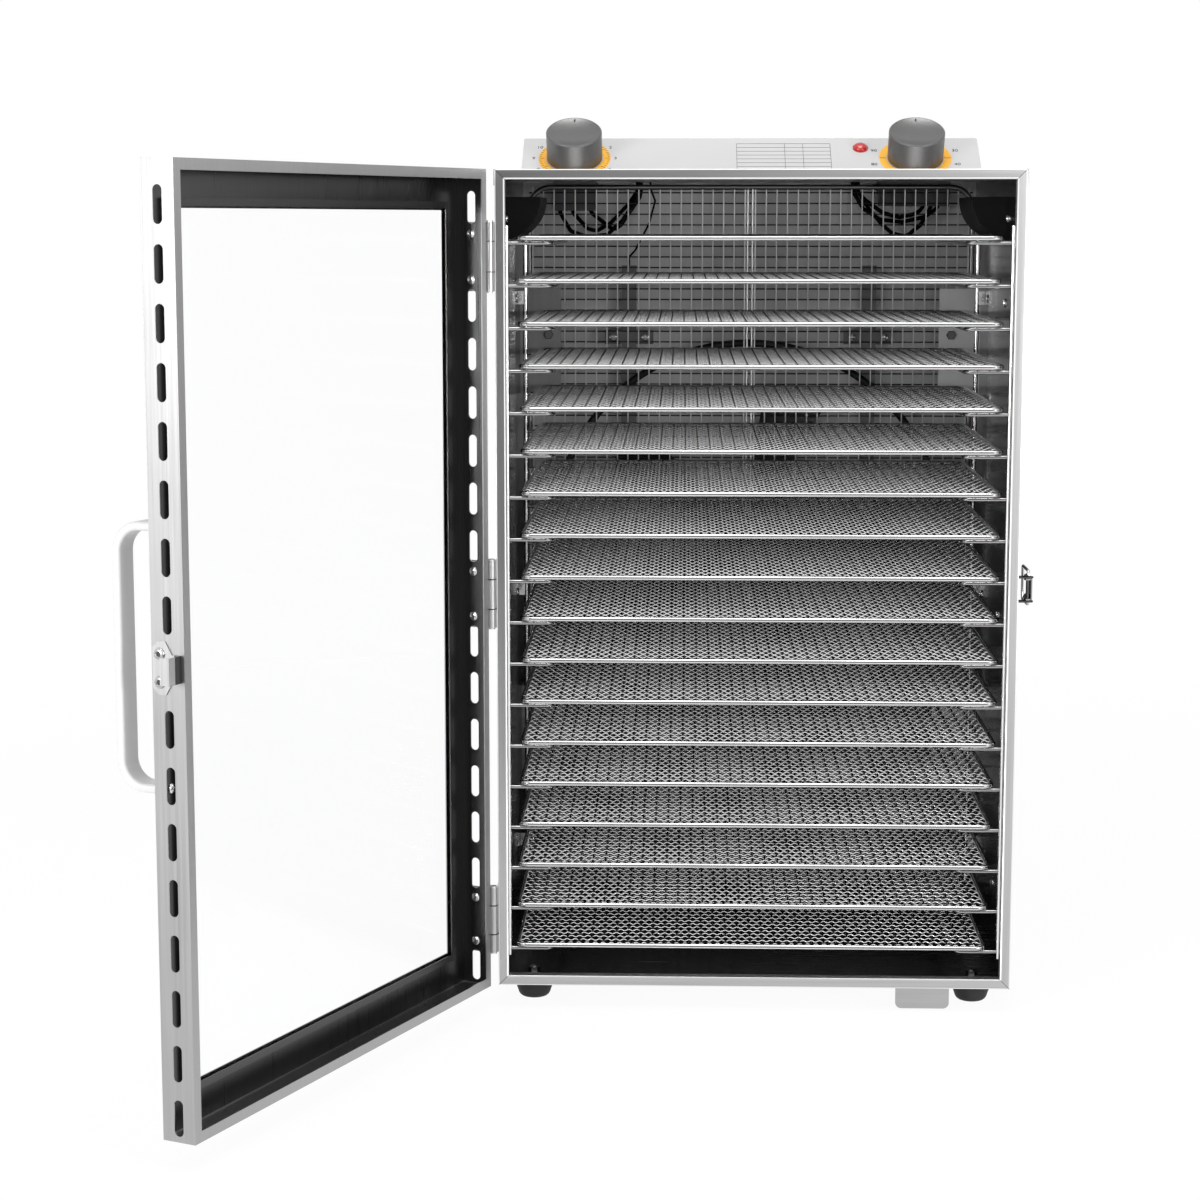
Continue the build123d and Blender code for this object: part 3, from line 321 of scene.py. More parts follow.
class Finish:
    """One node tree. Its node method adds any node: settings first, then socket values and links."""

    def __init__(self, name, owner=None):
        self.owner = owner or bpy.data.materials.new(name)
        self.owner.use_nodes = True
        self.tree = self.owner.node_tree
        self.tree.nodes.clear()

    def node(self, kind, settings=None, sockets=None, output=0):
        made = self.tree.nodes.new(kind)
        for key, value in (settings or {}).items():
            setattr(made, key, value)
        for key, value in (sockets or {}).items():
            if isinstance(value, Value):
                self.tree.links.new(value.socket, made.inputs[key])
            else:
                made.inputs[key].default_value = value
        return Value(self, made.outputs[output]) if made.outputs else made

    def place(self, scale=(1, 1, 1)):
        here = self.node("ShaderNodeTexCoord", output="Object")
        return self.node("ShaderNodeMapping", {}, {"Vector": here, "Scale": scale})

    def axes(self):
        here = self.node("ShaderNodeTexCoord", output="Object")
        return [self.node("ShaderNodeSeparateXYZ", {}, {0: here}, output=axis) for axis in "XYZ"]

    def noise(self, scale, size=(1, 1, 1), detail=3.0, rough=0.55):
        return self.node("ShaderNodeTexNoise", {}, {
            "Vector": self.place(size), "Scale": scale, "Detail": detail, "Roughness": rough})

    def streaks(self, along, grain=620):
        """Fine brushing along one axis."""
        size = [1.0, 1.0, 1.0]
        size[along] = 0.012
        return self.noise(grain, size, detail=4.0)

    def mix(self, factor, first, second):
        return self.node("ShaderNodeMix", {"data_type": "RGBA"}, {0: factor, 6: first, 7: second}, output=2)

    def level(self, value):
        """Grey of a level that may change over the surface."""
        return self.node("ShaderNodeCombineColor", {}, {0: value, 1: value, 2: value})

    def upward(self):
        """How far a surface faces up: 1 on top, 0 upright, -1 underneath."""
        normal = self.node("ShaderNodeTexCoord", output="Normal")
        return self.node("ShaderNodeSeparateXYZ", {}, {0: normal}, output="Z")

    def bump(self, height, strength, distance):
        return self.node("ShaderNodeBump", {}, {
            "Strength": strength, "Distance": distance, "Height": height})

    def surface(self, **sockets):
        named = {key.replace("_", " "): value for key, value in sockets.items()}
        shader = self.node("ShaderNodeBsdfPrincipled", {}, named)
        self.node("ShaderNodeOutputMaterial", {}, {"Surface": shader})
        return self.owner


def grey(level, warm=0.0):
    return (level * (1 + warm), level, level * (1 - warm), 1.0)


# Finishes
def brushed_steel(finish, along, tone_range, rough=0.34, metal=1.0, grain=620):
    """Brushed steel sheet: fine streaks, slow clouding, a light scratch bump."""
    streak = finish.streaks(along, grain)
    cloud = finish.noise(7.0, detail=2.0)
    dark, light = [finish.level(end) for end in tone_range]
    return finish.surface(
        Base_Color=finish.mix(streak * 0.6 + cloud * 0.4, dark, light),
        Metallic=metal,
        Roughness=rough + (streak - 0.5) * 0.18 + (cloud - 0.5) * 0.08,
        Normal=finish.bump(streak, 0.12, 0.0002))


def between(mask, outside, inside):
    """Outside where the mask is 0, inside where it is 1."""
    return outside + mask * (inside - outside)


def sheet(name, along, tone_range, rough=0.34, grain=620):
    return brushed_steel(Finish(name), along, tone_range, rough, grain=grain)


def wall_sheet(name):
    """Side wall: satin outside, smoother inside and darker there as painted shade."""
    finish = Finish(name)
    x = finish.axes()[0]
    inside = abs(x) < SIDE_X - SHEET / 2
    # Painted shade: the inner face gets a much darker tone than the outside
    tone_range = (between(inside, 0.46, 0.12), between(inside, 0.66, 0.20))
    return brushed_steel(finish, 2, tone_range, between(inside, 0.34, 0.2))


def floor_sheet(name):
    """Floor: smooth inside and dark there as painted shade; the tongue and the underside stay satin."""
    finish = Finish(name)
    z = finish.axes()[2]
    inside = z > FLOOR_Z + SHEET / 2
    # Painted shade: the inner face gets a much darker tone than the tongue and underside
    tone_range = (between(inside, 0.32, 0.07), between(inside, 0.46, 0.13))
    return brushed_steel(finish, 0, tone_range, between(inside, 0.36, 0.24))


def open_above(finish):
    """Painted light level: 1 in the open upper part of the bay behind the trays, less in the closed part
    below, as painted shade.
    """
    return ((finish.axes()[2] - SHADE_FROM) / SHADE_RUN).clamped() * 0.8 + 0.2


def back_sheet(name):
    """Back wall: satin, with a dull inner face that is painted lighter in its upper part and darker below
    as painted shade.
    """
    finish = Finish(name)
    y = finish.axes()[1]
    inside = y < BACK_Y - SHEET / 2
    painted_light = open_above(finish)
    # Painted shade: the inner face tone is scaled down in the lower part of the bay
    tone_range = (between(inside, 0.46, painted_light * 0.64), between(inside, 0.66, painted_light * 0.86))
    return brushed_steel(finish, 2, tone_range, between(inside, 0.34, 0.42), between(inside, 1.0, 0.4))


def door_axes(finish):
    """Place on the door as if it were shut: across its width, through its thickness and up."""
    x, y, z = finish.axes()
    across = (x - HINGE.x) * cos(DOOR_OPEN) - (y - HINGE.y) * sin(DOOR_OPEN) + HINGE.x
    through = (x - HINGE.x) * sin(DOOR_OPEN) + (y - HINGE.y) * cos(DOOR_OPEN) + HINGE.y
    return across, through, z


def door_sheet(name):
    """Door frame: satin outside; the hollow of its folded edges is painted dark as painted shade, the
    bottom ledge less dark.
    """
    finish = Finish(name)
    across, through, z = door_axes(finish)
    skin = SHEET * 0.7
    in_width = abs(across) < DOOR_W / 2 - skin
    in_depth = abs(through - (DOOR_Y_IN + DOOR_Y_OUT) / 2) < DOOR_T / 2 - skin
    in_height = abs(z - MID_Z) < (TOP_Z - FLOOR_Z) / 2 - skin
    hollow = in_width * in_depth * in_height
    # Painted shade: dark in the hollow, lighter on the bottom ledge
    ledge = hollow * (z < FLOOR_Z + 2 * SHEET)
    dark = between(ledge, between(hollow, 0.32, 0.07), 0.26)
    light = between(ledge, between(hollow, 0.46, 0.12), 0.40)
    return brushed_steel(finish, 2, (dark, light), between(hollow, 0.34, 0.3))


def hinge_sheet(name):
    """Hinges: satin, with dark joints between the knuckles."""
    finish = Finish(name)
    z = finish.axes()[2]
    joint = 0.0
    for middle in HINGE_Z:
        joint = joint + (abs(abs(z - middle) - KNUCKLE_H / 2) < KNUCKLE_JOINT)
    return brushed_steel(finish, 2, (between(joint, 0.34, 0.02), between(joint, 0.48, 0.04)), 0.36)


def keeper_sheet(name):
    """Keeper: pale satin plate with the root of its hook in shade."""
    finish = Finish(name)
    across, through = door_axes(finish)[:2]
    root = (through > DOOR_Y_IN - HOOK_D) * (across < DOOR_W / 2 + HOOK_D)
    return brushed_steel(finish, 2, (between(root, 0.40, 0.05), between(root, 0.52, 0.10)), 0.34)


def guard_plate(name):
    """Angle plates: satin, the right one in brighter light than the left one."""
    finish = Finish(name)
    x = finish.axes()[0]
    right = x > 0.0
    tone_range = (between(right, 0.30, 0.86), between(right, 0.42, 0.98))
    return brushed_steel(finish, 2, tone_range, 0.42, 0.3, 300)


def mitred_flange(name):
    """Front frame: grain runs along each of its four lengths, which meet in mitred seams; painted shade
    darkens it towards the upper left and along the top, and a painted highlight lightens the inner fold of
    the sides and top and the outer edge.
    """
    finish = Finish(name)
    x, z = finish.axes()[::2]
    from_side = SIDE_X - abs(x)
    from_end = (TOP_Z - FLOOR_Z) / 2 - abs(z - MID_Z)
    past_seam = from_side - from_end
    upright = past_seam < 0.0
    seam = abs(past_seam) < SEAM_HALF
    streak = finish.streaks(2) * upright + finish.streaks(0) * (1 - upright)
    cloud = finish.noise(7.0, detail=2.0)
    # Painted shade: darker towards the left and upwards, and along the top length
    leftwards = 0.5 - x / (2 * SIDE_X)
    upwards = ((z - FLOOR_Z - FLANGE_SHADE_FROM) / FLANGE_SHADE_RUN).clamped()
    top_length = (1 - upright) * (z > MID_Z)
    shade = (1 - leftwards * upwards * 0.62) * (1 - top_length * 0.2)
    # Painted highlight: a light tone on the inner fold and along the outer edge
    inset = from_side.math("MINIMUM", from_side, from_end)
    fold = (inset > FLANGE_W - BEND_R) * (upright + top_length)
    rim = inset < EDGE_R * 1.6
    painted_highlight = (fold + rim).clamped()
    tone = finish.mix(streak * 0.6 + cloud * 0.4, grey(0.36), grey(0.52))
    tone = finish.mix(shade, grey(0.0), tone)
    tone = finish.mix(painted_highlight, tone, grey(0.80))
    tone = finish.mix(seam * 0.9, tone, grey(0.04))
    return finish.surface(
        Base_Color=tone, Metallic=1.0, Roughness=0.36 + (streak - 0.5) * 0.2 + seam * 0.3,
        Normal=finish.bump(streak - seam, 0.12, 0.0002))


def drawn_wire(name, dark, light, rough, outline=0.0, painted_reflection_band=0.0):
    """Drawn wire with faint draw marks; a dark specular tint may paint dark reflections at grazing angles,
    and a painted dark reflection band may run along its side.
    """
    finish = Finish(name)
    mark = finish.noise(900, detail=3.0)
    cloud = finish.noise(26, detail=2.0)
    tone = finish.mix(mark * 0.4 + cloud * 0.6, grey(dark), grey(light))
    # Painted reflection: a dark band along the side of the wire
    off_side = abs(finish.upward() - 0.12)
    tone = finish.mix(((0.3 - off_side) * 8).clamped() * painted_reflection_band, tone, grey(0.05))
    return finish.surface(
        Base_Color=tone, Metallic=1.0, Roughness=rough + (mark - 0.5) * 0.12,
        # Painted reflection: outline darkens the specular tint, so grazing edges look dark
        Specular_Tint=grey(1 - outline), Normal=finish.bump(mark, 0.08, 0.0001))


def net_rows(name):
    """Cross wires of a tray: painted light on top, painted shade underneath and towards the back."""
    finish = Finish(name)
    mark = finish.noise(900, detail=3.0)
    inwards = (finish.axes()[1] / TRAY_DEPTH + 0.5).clamped()
    top = ((finish.upward() + 0.07) * 3).clamped()
    tone = finish.mix(mark, grey(0.80), grey(0.96))
    # Painted shade: darker towards the back and dark on the underside
    tone = finish.mix(inwards * 0.65, tone, grey(0.12))
    tone = finish.mix(top, grey(0.03), tone)
    return finish.surface(
        Base_Color=tone, Metallic=1.0, Roughness=0.24 + (mark - 0.5) * 0.12,
        Normal=finish.bump(mark, 0.08, 0.0001))


def guard_wire(name):
    """Upright wires of the guard: bright above, with painted shade behind the lower trays."""
    finish = Finish(name)
    mark = finish.noise(900, detail=3.0)
    tone = finish.mix(mark, grey(0.88), grey(0.96))
    tone = finish.mix(open_above(finish), grey(0.02), tone)
    return finish.surface(
        Base_Color=tone, Metallic=1.0, Roughness=0.36 + (mark - 0.5) * 0.12,
        Normal=finish.bump(mark, 0.08, 0.0001))


def moulded(name, dark, light, rough, grain, gloss=0.5):
    """Moulded plastic, rubber, paint or print with a fine grain."""
    finish = Finish(name)
    speck = finish.noise(grain, detail=2.0)
    cloud = finish.noise(14, detail=2.0)
    tone = finish.mix(speck * 0.5 + cloud * 0.5, dark, light)
    return finish.surface(
        Base_Color=tone, Roughness=rough + (speck - 0.5) * 0.14, Specular_IOR_Level=gloss,
        Normal=finish.bump(speck, 0.15, 0.0001))


def turned_metal(name):
    """Knob: fine turning lines and a faint grain."""
    finish = Finish(name)
    line = finish.node("ShaderNodeTexWave", {"bands_direction": "Z"}, {
        "Vector": finish.place(), "Scale": 300.0, "Distortion": 1.5, "Detail": 2.0}, output=1)
    grain = finish.noise(800, detail=3.0)
    tone = finish.mix(grain, grey(0.12, 0.01), grey(0.18, 0.01))
    return finish.surface(
        Base_Color=tone, Metallic=1.0, Roughness=0.36 + (line - 0.5) * 0.08 + (grain - 0.5) * 0.1,
        Normal=finish.bump(line, 0.06, 0.0001))


def lamp_lens(name):
    """Clear red lens with a clouded depth."""
    finish = Finish(name)
    depth = finish.noise(420, detail=2.0)
    tone = finish.mix(depth, (0.30, 0.003, 0.003, 1), (0.48, 0.008, 0.006, 1))
    return finish.surface(Base_Color=tone, Roughness=0.16 + depth * 0.1, Coat_Weight=0.6, IOR=1.5)


def clear_pane(name):
    """Clear thin glass with the faintest smear."""
    finish = Finish(name)
    smear = finish.noise(9, detail=3.0)
    return finish.surface(
        Base_Color=(0.99, 0.995, 0.995, 1), Roughness=smear * 0.015, IOR=1.1, Transmission_Weight=1.0)


steel_across = sheet("brushed_steel_across", 0, (0.46, 0.66))
steel_hinge = hinge_sheet("satin_hinge_steel")
steel_rail = sheet("dull_rail_steel", 2, (0.16, 0.24), rough=0.42)
# Pane retainer: steel painted much darker than the other sheet, as painted shade
steel_retainer = sheet("pane_retainer_steel", 2, (0.07, 0.12), rough=0.36)
wall_steel = wall_sheet("side_wall_steel")
floor_steel = floor_sheet("floor_steel")
back_steel = back_sheet("back_wall_steel")
door_steel = door_sheet("door_steel")
plate_steel = guard_plate("guard_plate_steel")
keeper_steel = keeper_sheet("keeper_steel")
flange_steel = mitred_flange("mitred_front_flange")
rim_bright = drawn_wire("bright_rim_rod", 0.62, 0.76, 0.2, painted_reflection_band=0.85)
post_bright = drawn_wire("bright_upright_rod", 0.74, 0.92, 0.18, outline=0.8)
shelf_bright = drawn_wire("shelf_rod", 0.36, 0.48, 0.22, painted_reflection_band=0.8)
net_bright = net_rows("tray_row_wire")
# Front-to-back tray wires: painted nearly black, as painted shade
net_dark = drawn_wire("tray_deep_wire", 0.005, 0.015, 0.5)
guard_upright = guard_wire("guard_upright_wire")
# Guard cross wires: painted dark, as painted shade behind the uprights
guard_cross = drawn_wire("guard_cross_wire", 0.06, 0.11, 0.34)
guard_frame = drawn_wire("guard_frame_rod", 0.16, 0.26, 0.3, outline=0.6)
hardware = drawn_wire("polished_hardware", 0.60, 0.82, 0.14, outline=0.95)
# Latch base and lever: painted darker than the polished hardware, as painted dark reflections, the base
# darkest
latch_dark = drawn_wire("latch_base_steel", 0.06, 0.14, 0.2, outline=0.95)
latch_pale = drawn_wire("latch_lever_steel", 0.30, 0.46, 0.16, outline=0.95)
heater_tube = drawn_wire("heater_tube", 0.05, 0.09, 0.45)
fan_metal = drawn_wire("fan_blade_metal", 0.05, 0.09, 0.5)
black_plastic = moulded("black_cup_plastic", grey(0.003), grey(0.007), 0.5, 900, 0.12)
rubber = moulded("foot_rubber", grey(0.016), grey(0.034), 0.62, 700, 0.25)
lead_cover = moulded("lead_cover", grey(0.003), grey(0.006), 0.5, 900, 0.12)
switch_case = moulded("switch_case", grey(0.10), grey(0.16), 0.5, 600)
motor_paint = moulded("motor_paint", grey(0.03), grey(0.06), 0.45, 500)
white_plastic = moulded("white_handle_plastic", grey(0.58), grey(0.64), 0.38, 900)
panel_face = moulded("panel_coating", grey(0.44), grey(0.50), 0.42, 1200)
gold_print = moulded("gold_dial_print", (0.74, 0.36, 0.018, 1), (0.84, 0.43, 0.03, 1), 0.45, 800)
black_print = moulded("black_print", grey(0.010), grey(0.025), 0.5, 900)
faint_print = moulded("grey_table_print", grey(0.10), grey(0.16), 0.5, 900)
knob_metal = turned_metal("turned_knob_metal")
red_lens = lamp_lens("red_lamp_lens")
pane_glass = clear_pane("clear_pane")


# Mesh helpers
def join(name, parts):
    """One mesh from (vertices, faces) parts."""
    vertices = []
    faces = []
    for part_vertices, part_faces in parts:
        start = len(vertices)
        vertices += part_vertices
        faces += [tuple(start + index for index in face) for face in part_faces]
    mesh = bpy.data.meshes.new(name)
    mesh.from_pydata([tuple(vertex) for vertex in vertices], [], faces)
    mesh.validate()
    mesh.update()
    return mesh


def dress(name, mesh, material, body, stands_for=(), at=(0, 0, 0)):
    """An object that rides on a body; its rounds are smooth and its folds stay sharp."""
    made = bpy.data.objects.new(name, mesh)
    scene.collection.objects.link(made)
    if not mesh.materials:
        mesh.materials.append(material)
    mesh.shade_smooth()
    mesh.set_sharp_from_angle(angle=radians(38))
    made.location = at
    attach(made, body)
    for node in stands_for:
        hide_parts(node)
    return made


def piece(name, parts, material, body, stands_for=()):
    return dress(name, join(name, parts), material, body, stands_for)


def moved(part, matrix):
    return [matrix @ Vector(vertex) for vertex in part[0]], part[1]


def bands(rings, sides, closed=False):
    """Faces between rings of points, capped at both ends or closed into a loop."""
    faces = []
    for ring in range(rings if closed else rings - 1):
        here = ring * sides
        after = (ring + 1) % rings * sides
        for step in range(sides):
            nextup = (step + 1) % sides
            faces.append((here + step, here + nextup, after + nextup, after + step))
    if not closed:
        faces.append(tuple(reversed(range(sides))))
        faces.append(tuple((rings - 1) * sides + step for step in range(sides)))
    return faces


def rod(path, radius, sides=8, closed=False):
    """Round rod along a path of points, its section carried on without twist."""
    points = [Vector(point) for point in path]
    count = len(points)
    tangents = []
    for index in range(count):
        ahead = points[(index + 1) % count] if closed or index < count - 1 else points[index]
        behind = points[index - 1] if closed or index > 0 else points[index]
        tangents.append((ahead - behind).normalized())
    lead = Vector((0, 0, 1)) if abs(tangents[0].z) < 0.9 else Vector((0, 1, 0))
    normal = (lead - tangents[0] * lead.dot(tangents[0])).normalized()
    vertices = []
    for point, tangent in zip(points, tangents):
        normal = (normal - tangent * normal.dot(tangent)).normalized()
        side = tangent.cross(normal)
        for step in range(sides):
            turn = 2 * pi * (step + 0.5) / sides
            vertices.append(point + normal * (cos(turn) * radius) + side * (sin(turn) * radius))
    return vertices, bands(count, sides, closed)


def bent(points, radius, steps=5):
    """A path of straight runs with its corners rounded."""
    corners = [Vector(point) for point in points]
    path = [corners[0]]
    for before, corner, after in zip(corners, corners[1:], corners[2:]):
        back = (before - corner).normalized()
        on = (after - corner).normalized()
        half = back.angle(on) / 2
        run = radius * cos(half) / sin(half)
        middle = corner + (back + on).normalized() * (radius / sin(half))
        start = (corner + back * run - middle).normalized()
        end = (corner + on * run - middle).normalized()
        for step in range(steps + 1):
            path.append(middle + start.slerp(end, step / steps) * radius)
    path.append(corners[-1])
    return path


def rounded_loop(width, depth, radius, steps=6):
    """Closed rounded rectangle in the XY plane, centred."""
    path = []
    for quarter, (sign_x, sign_y) in enumerate(((1, 1), (-1, 1), (-1, -1), (1, -1))):
        centre = Vector((sign_x * (width / 2 - radius), sign_y * (depth / 2 - radius), 0))
        for step in range(steps + 1):
            turn = pi / 2 * (quarter + step / steps)
            path.append(centre + Vector((cos(turn), sin(turn), 0)) * radius)
    return path


def turned(profile, sides=48):
    """Solid of revolution about Z from (radius, height) points."""
    vertices = []
    for radius, height in profile:
        for step in range(sides):
            turn = 2 * pi * step / sides
            vertices.append(Vector((radius * cos(turn), radius * sin(turn), height)))
    return vertices, bands(len(profile), sides)


def dome(radius, height, foot, steps=8):
    """Profile of a dome on a short straight foot."""
    profile = [(radius, 0.0)]
    for step in range(steps):
        turn = pi / 2 * step / steps
        profile.append((radius * cos(turn), foot + (height - foot) * sin(turn)))
    profile.append((radius * 0.02, height))
    return profile


def slab(low, high, bevel=0.0):
    """Box between two corners with its upright edges cut off."""
    x0, y0, z0 = low
    x1, y1, z1 = high
    outline = [(x0 + bevel, y0), (x1 - bevel, y0), (x1, y0 + bevel), (x1, y1 - bevel),
               (x1 - bevel, y1), (x0 + bevel, y1), (x0, y1 - bevel), (x0, y0 + bevel)]
    vertices = [Vector((x, y, z)) for z in (z0, z1) for x, y in outline]
    return vertices, bands(2, len(outline))


def cross_head(radius, height, rings=12, sides=48):
    """Pan head along +Z with a cross recess pressed into it."""
    slot_half = radius * 0.17
    slot_reach = radius * 0.62
    wall = height * 0.35
    profile = [(radius, 0.0), (radius, wall)]
    for step in range(1, rings):
        turn = pi / 2 * step / rings
        profile.append((radius * cos(turn), wall + (height - wall) * sin(turn)))
    profile.append((radius * 0.02, height))
    vertices = []
    for reach, level in profile:
        for step in range(sides):
            turn = 2 * pi * step / sides
            x = reach * cos(turn)
            y = reach * sin(turn)
            in_bar = abs(x) < slot_half and abs(y) < slot_reach
            in_cross = in_bar or (abs(y) < slot_half and abs(x) < slot_reach)
            vertices.append(Vector((x, y, level - (height * 0.6 if in_cross else 0.0))))
    return vertices, bands(len(profile), sides)


def facing(at, out, up=(0, 0, 1)):
    """Placement whose local Z points out of a surface."""
    z_axis = Vector(out).normalized()
    x_axis = Vector(up).cross(z_axis).normalized()
    y_axis = z_axis.cross(x_axis)
    turn = Matrix((x_axis, y_axis, z_axis)).transposed().to_4x4()
    return Matrix.Translation(Vector(at)) @ turn


PANEL_OUT = Vector((0, -sin(PANEL_TILT), cos(PANEL_TILT)))
PANEL_UP = Vector((0, cos(PANEL_TILT), sin(PANEL_TILT)))


def on_panel(x, s, lift=0.0):
    """Point on the sloping panel: s runs down from its upper edge, lift stands off it."""
    return PANEL_TOP + Vector((x, 0, 0)) - PANEL_UP * s + PANEL_OUT * lift


def panel_place(x, s, lift=0.0):
    turn = Matrix((Vector((1, 0, 0)), PANEL_UP, PANEL_OUT)).transposed().to_4x4()
    return Matrix.Translation(on_panel(x, s, lift)) @ turn


# Front frame: flange and lip folded from sheet, with rounded folds
def front_frame():
    section = [(0.0, SHEET)]
    for corner_in, radius, start in ((EDGE_R, EDGE_R, pi), (FLANGE_W - BEND_R, BEND_R, 3 * pi / 2)):
        for step in range(6):
            turn = start + pi / 2 * step / 5
            section.append((corner_in + radius * cos(turn), radius + radius * sin(turn)))
    section += [(FLANGE_W, LIP_D), (FLANGE_W - SHEET, LIP_D), (FLANGE_W - SHEET, SHEET)]
    half_h = (TOP_Z - FLOOR_Z) / 2
    vertices = []
    for inset, depth in section:
        for sign_x, sign_z in ((1, 1), (-1, 1), (-1, -1), (1, -1)):
            x = sign_x * (SIDE_X - inset)
            z = MID_Z + sign_z * (half_h - inset)
            vertices.append(Vector((x, FRONT_Y + depth, z)))
    parts = [(vertices, bands(len(section), 4, closed=True))]
    piece("folded_front_frame", parts, flange_steel, "cabinet", ["front_frame"])


# Trays
def net_wire(along, place, samples, run, height, radius, sides):
    """One wire of the net; height gives its rise at each place along it."""
    path = []
    for sample in range(samples + 1):
        reach = run * (sample / samples - 0.5)
        point = [reach, place, height(reach)] if along == 0 else [place, reach, height(reach)]
        path.append(point)
    return rod(path, radius, sides)


def trimmed(length, span, place):
    """Length of a wire between the rounded corners of the rim."""
    into = TRAY_CORNER - (span / 2 - abs(place))
    if into <= 0:
        return length
    return length - 2 * (TRAY_CORNER - (TRAY_CORNER ** 2 - into ** 2) ** 0.5)


def tray_mesh():
    low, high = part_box("tray_01")
    width = high.x - low.x
    depth = TRAY_DEPTH
    columns = int((width - 2 * TRAY_ROD) / MESH_PITCH)
    rows = int((depth - 2 * TRAY_ROD) / MESH_PITCH)
    row_parts = []
    deep_parts = []
    for row in range(rows):
        y = (row - (rows - 1) / 2) * MESH_PITCH
        run = trimmed(width - TRAY_ROD, depth, y)
        samples = int(run / MESH_PITCH * ROW_CRIMPS * ROW_STEPS)
        rise = lambda x: ROW_RISE * cos(2 * pi * ROW_CRIMPS * x / MESH_PITCH + pi * row)
        row_parts.append(net_wire(0, y, samples, run, rise, ROW_WIRE / 2, 5))
    for column in range(columns):
        x = (column - (columns - 1) / 2) * MESH_PITCH
        run = trimmed(depth - TRAY_ROD, width, x)
        samples = int(run / MESH_PITCH * DEEP_STEPS)
        turn = pi * (column - (columns - 1) / 2 + (rows - 1) / 2)
        rise = lambda y: DEEP_LIFT - DEEP_RISE * cos(pi * y / MESH_PITCH + turn)
        deep_parts.append(net_wire(1, x, samples, run, rise, DEEP_WIRE / 2, 4))
    rim_path = rounded_loop(width - TRAY_ROD, depth - TRAY_ROD, TRAY_CORNER - TRAY_ROD / 2)
    rim = rod(rim_path, TRAY_ROD / 2, 14, closed=True)
    mesh = join("woven_tray", [*row_parts, *deep_parts, rim])
    row_faces = sum(len(part[1]) for part in row_parts)
    rim_faces = len(mesh.polygons) - len(rim[1])
    for material in (net_bright, net_dark, rim_bright):
        mesh.materials.append(material)
    for face in mesh.polygons:
        face.material_index = (face.index >= row_faces) + (face.index >= rim_faces)
    return mesh


def trays():
    mesh = tray_mesh()
    for level in range(1, 19):
        node = f"tray_{level:02d}"
        low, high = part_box(node)
        dress(f"woven_{node}", mesh, net_bright, node, [node], at=(low + high) / 2)


# Racks: two uprights, a shelf wire under each tray and lugs to the wall
def rack(side_name, sign):
    low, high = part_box(f"rack_{side_name}")
    front = low.y + RACK_ROD / 2
    rear = high.y - RACK_ROD / 2
    wall = SIDE_X - SHEET
    post_x = sign * (wall - RACK_WALL)
    shelf_x = post_x - sign * SHELF_IN
    shelves = []
    for level in range(1, 19):
        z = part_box(f"tray_{level:02d}")[0].z - SHELF_ROD / 2 - SHELF_DROP
        corners = [(post_x, front, z), (shelf_x, front, z), (shelf_x, rear, z), (post_x, rear, z)]
        shelves.append(rod(bent(corners, SHELF_BEND), SHELF_ROD / 2, 10))
    node = f"rack_{side_name}"
    piece(f"shelf_wires_{side_name}", shelves, shelf_bright, "cabinet", [node])
    posts = [rod([(post_x, y, low.z), (post_x, y, high.z)], RACK_ROD / 2, 14) for y in (front, rear)]
    inner, outer = sorted((post_x, sign * wall))
    for up in LUG_UP:
        z = FLOOR_Z + up
        for y in (front, rear):
            lug_low = (inner, y - LUG_T / 2, z - LUG_H / 2)
            lug_high = (outer, y + LUG_T / 2, z + LUG_H / 2)
            posts.append(slab(lug_low, lug_high, LUG_BEVEL))
    piece(f"rack_posts_{side_name}", posts, post_bright, "cabinet")


# Rear guard: rod frame with two stays, upright wires in front and cross wires behind
def rear_guard():
    low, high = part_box("rear_guard")
    y = (low.y + high.y) / 2
    width = high.x - low.x
    height = high.z - low.z
    mid_z = (low.z + high.z) / 2
    wire_r = GUARD_WIRE / 2
    bottom = low.z + GUARD_ROD / 2
    top = high.z - GUARD_ROD / 2
    left = low.x + GUARD_ROD / 2
    right = high.x - GUARD_ROD / 2
    upright = Matrix.Translation((0, y, mid_z)) @ Matrix.Rotation(pi / 2, 4, "X")
    loop = rounded_loop(width - GUARD_ROD, height - GUARD_ROD, GUARD_CORNER)
    frame_loop = moved(rod(loop, GUARD_ROD / 2, 12, closed=True), upright)
    piece("guard_frame_rod", [frame_loop], guard_frame, "cabinet", ["rear_guard"])
    uprights = []
    columns = int((width - 2 * GUARD_ROD) / GUARD_PITCH)
    rows = int((height - 2 * GUARD_ROD) / GUARD_PITCH)
    for column in range(columns + 1):
        x = (column - columns / 2) * GUARD_PITCH
        uprights.append(rod([(x, y - wire_r, bottom), (x, y - wire_r, top)], wire_r, 8))
    for x in (-STAY_X, STAY_X):
        uprights.append(rod([(x, y - wire_r, bottom), (x, y - wire_r, top)], STAY_R, 12))
    piece("guard_upright_wires", uprights, guard_upright, "cabinet")
    cross_wires = []
    for row in range(rows + 1):
        z = mid_z + (row - rows / 2) * GUARD_PITCH
        cross_wires.append(rod([(left, y + wire_r, z), (right, y + wire_r, z)], wire_r, 6))
    piece("guard_cross_wires", cross_wires, guard_cross, "cabinet")


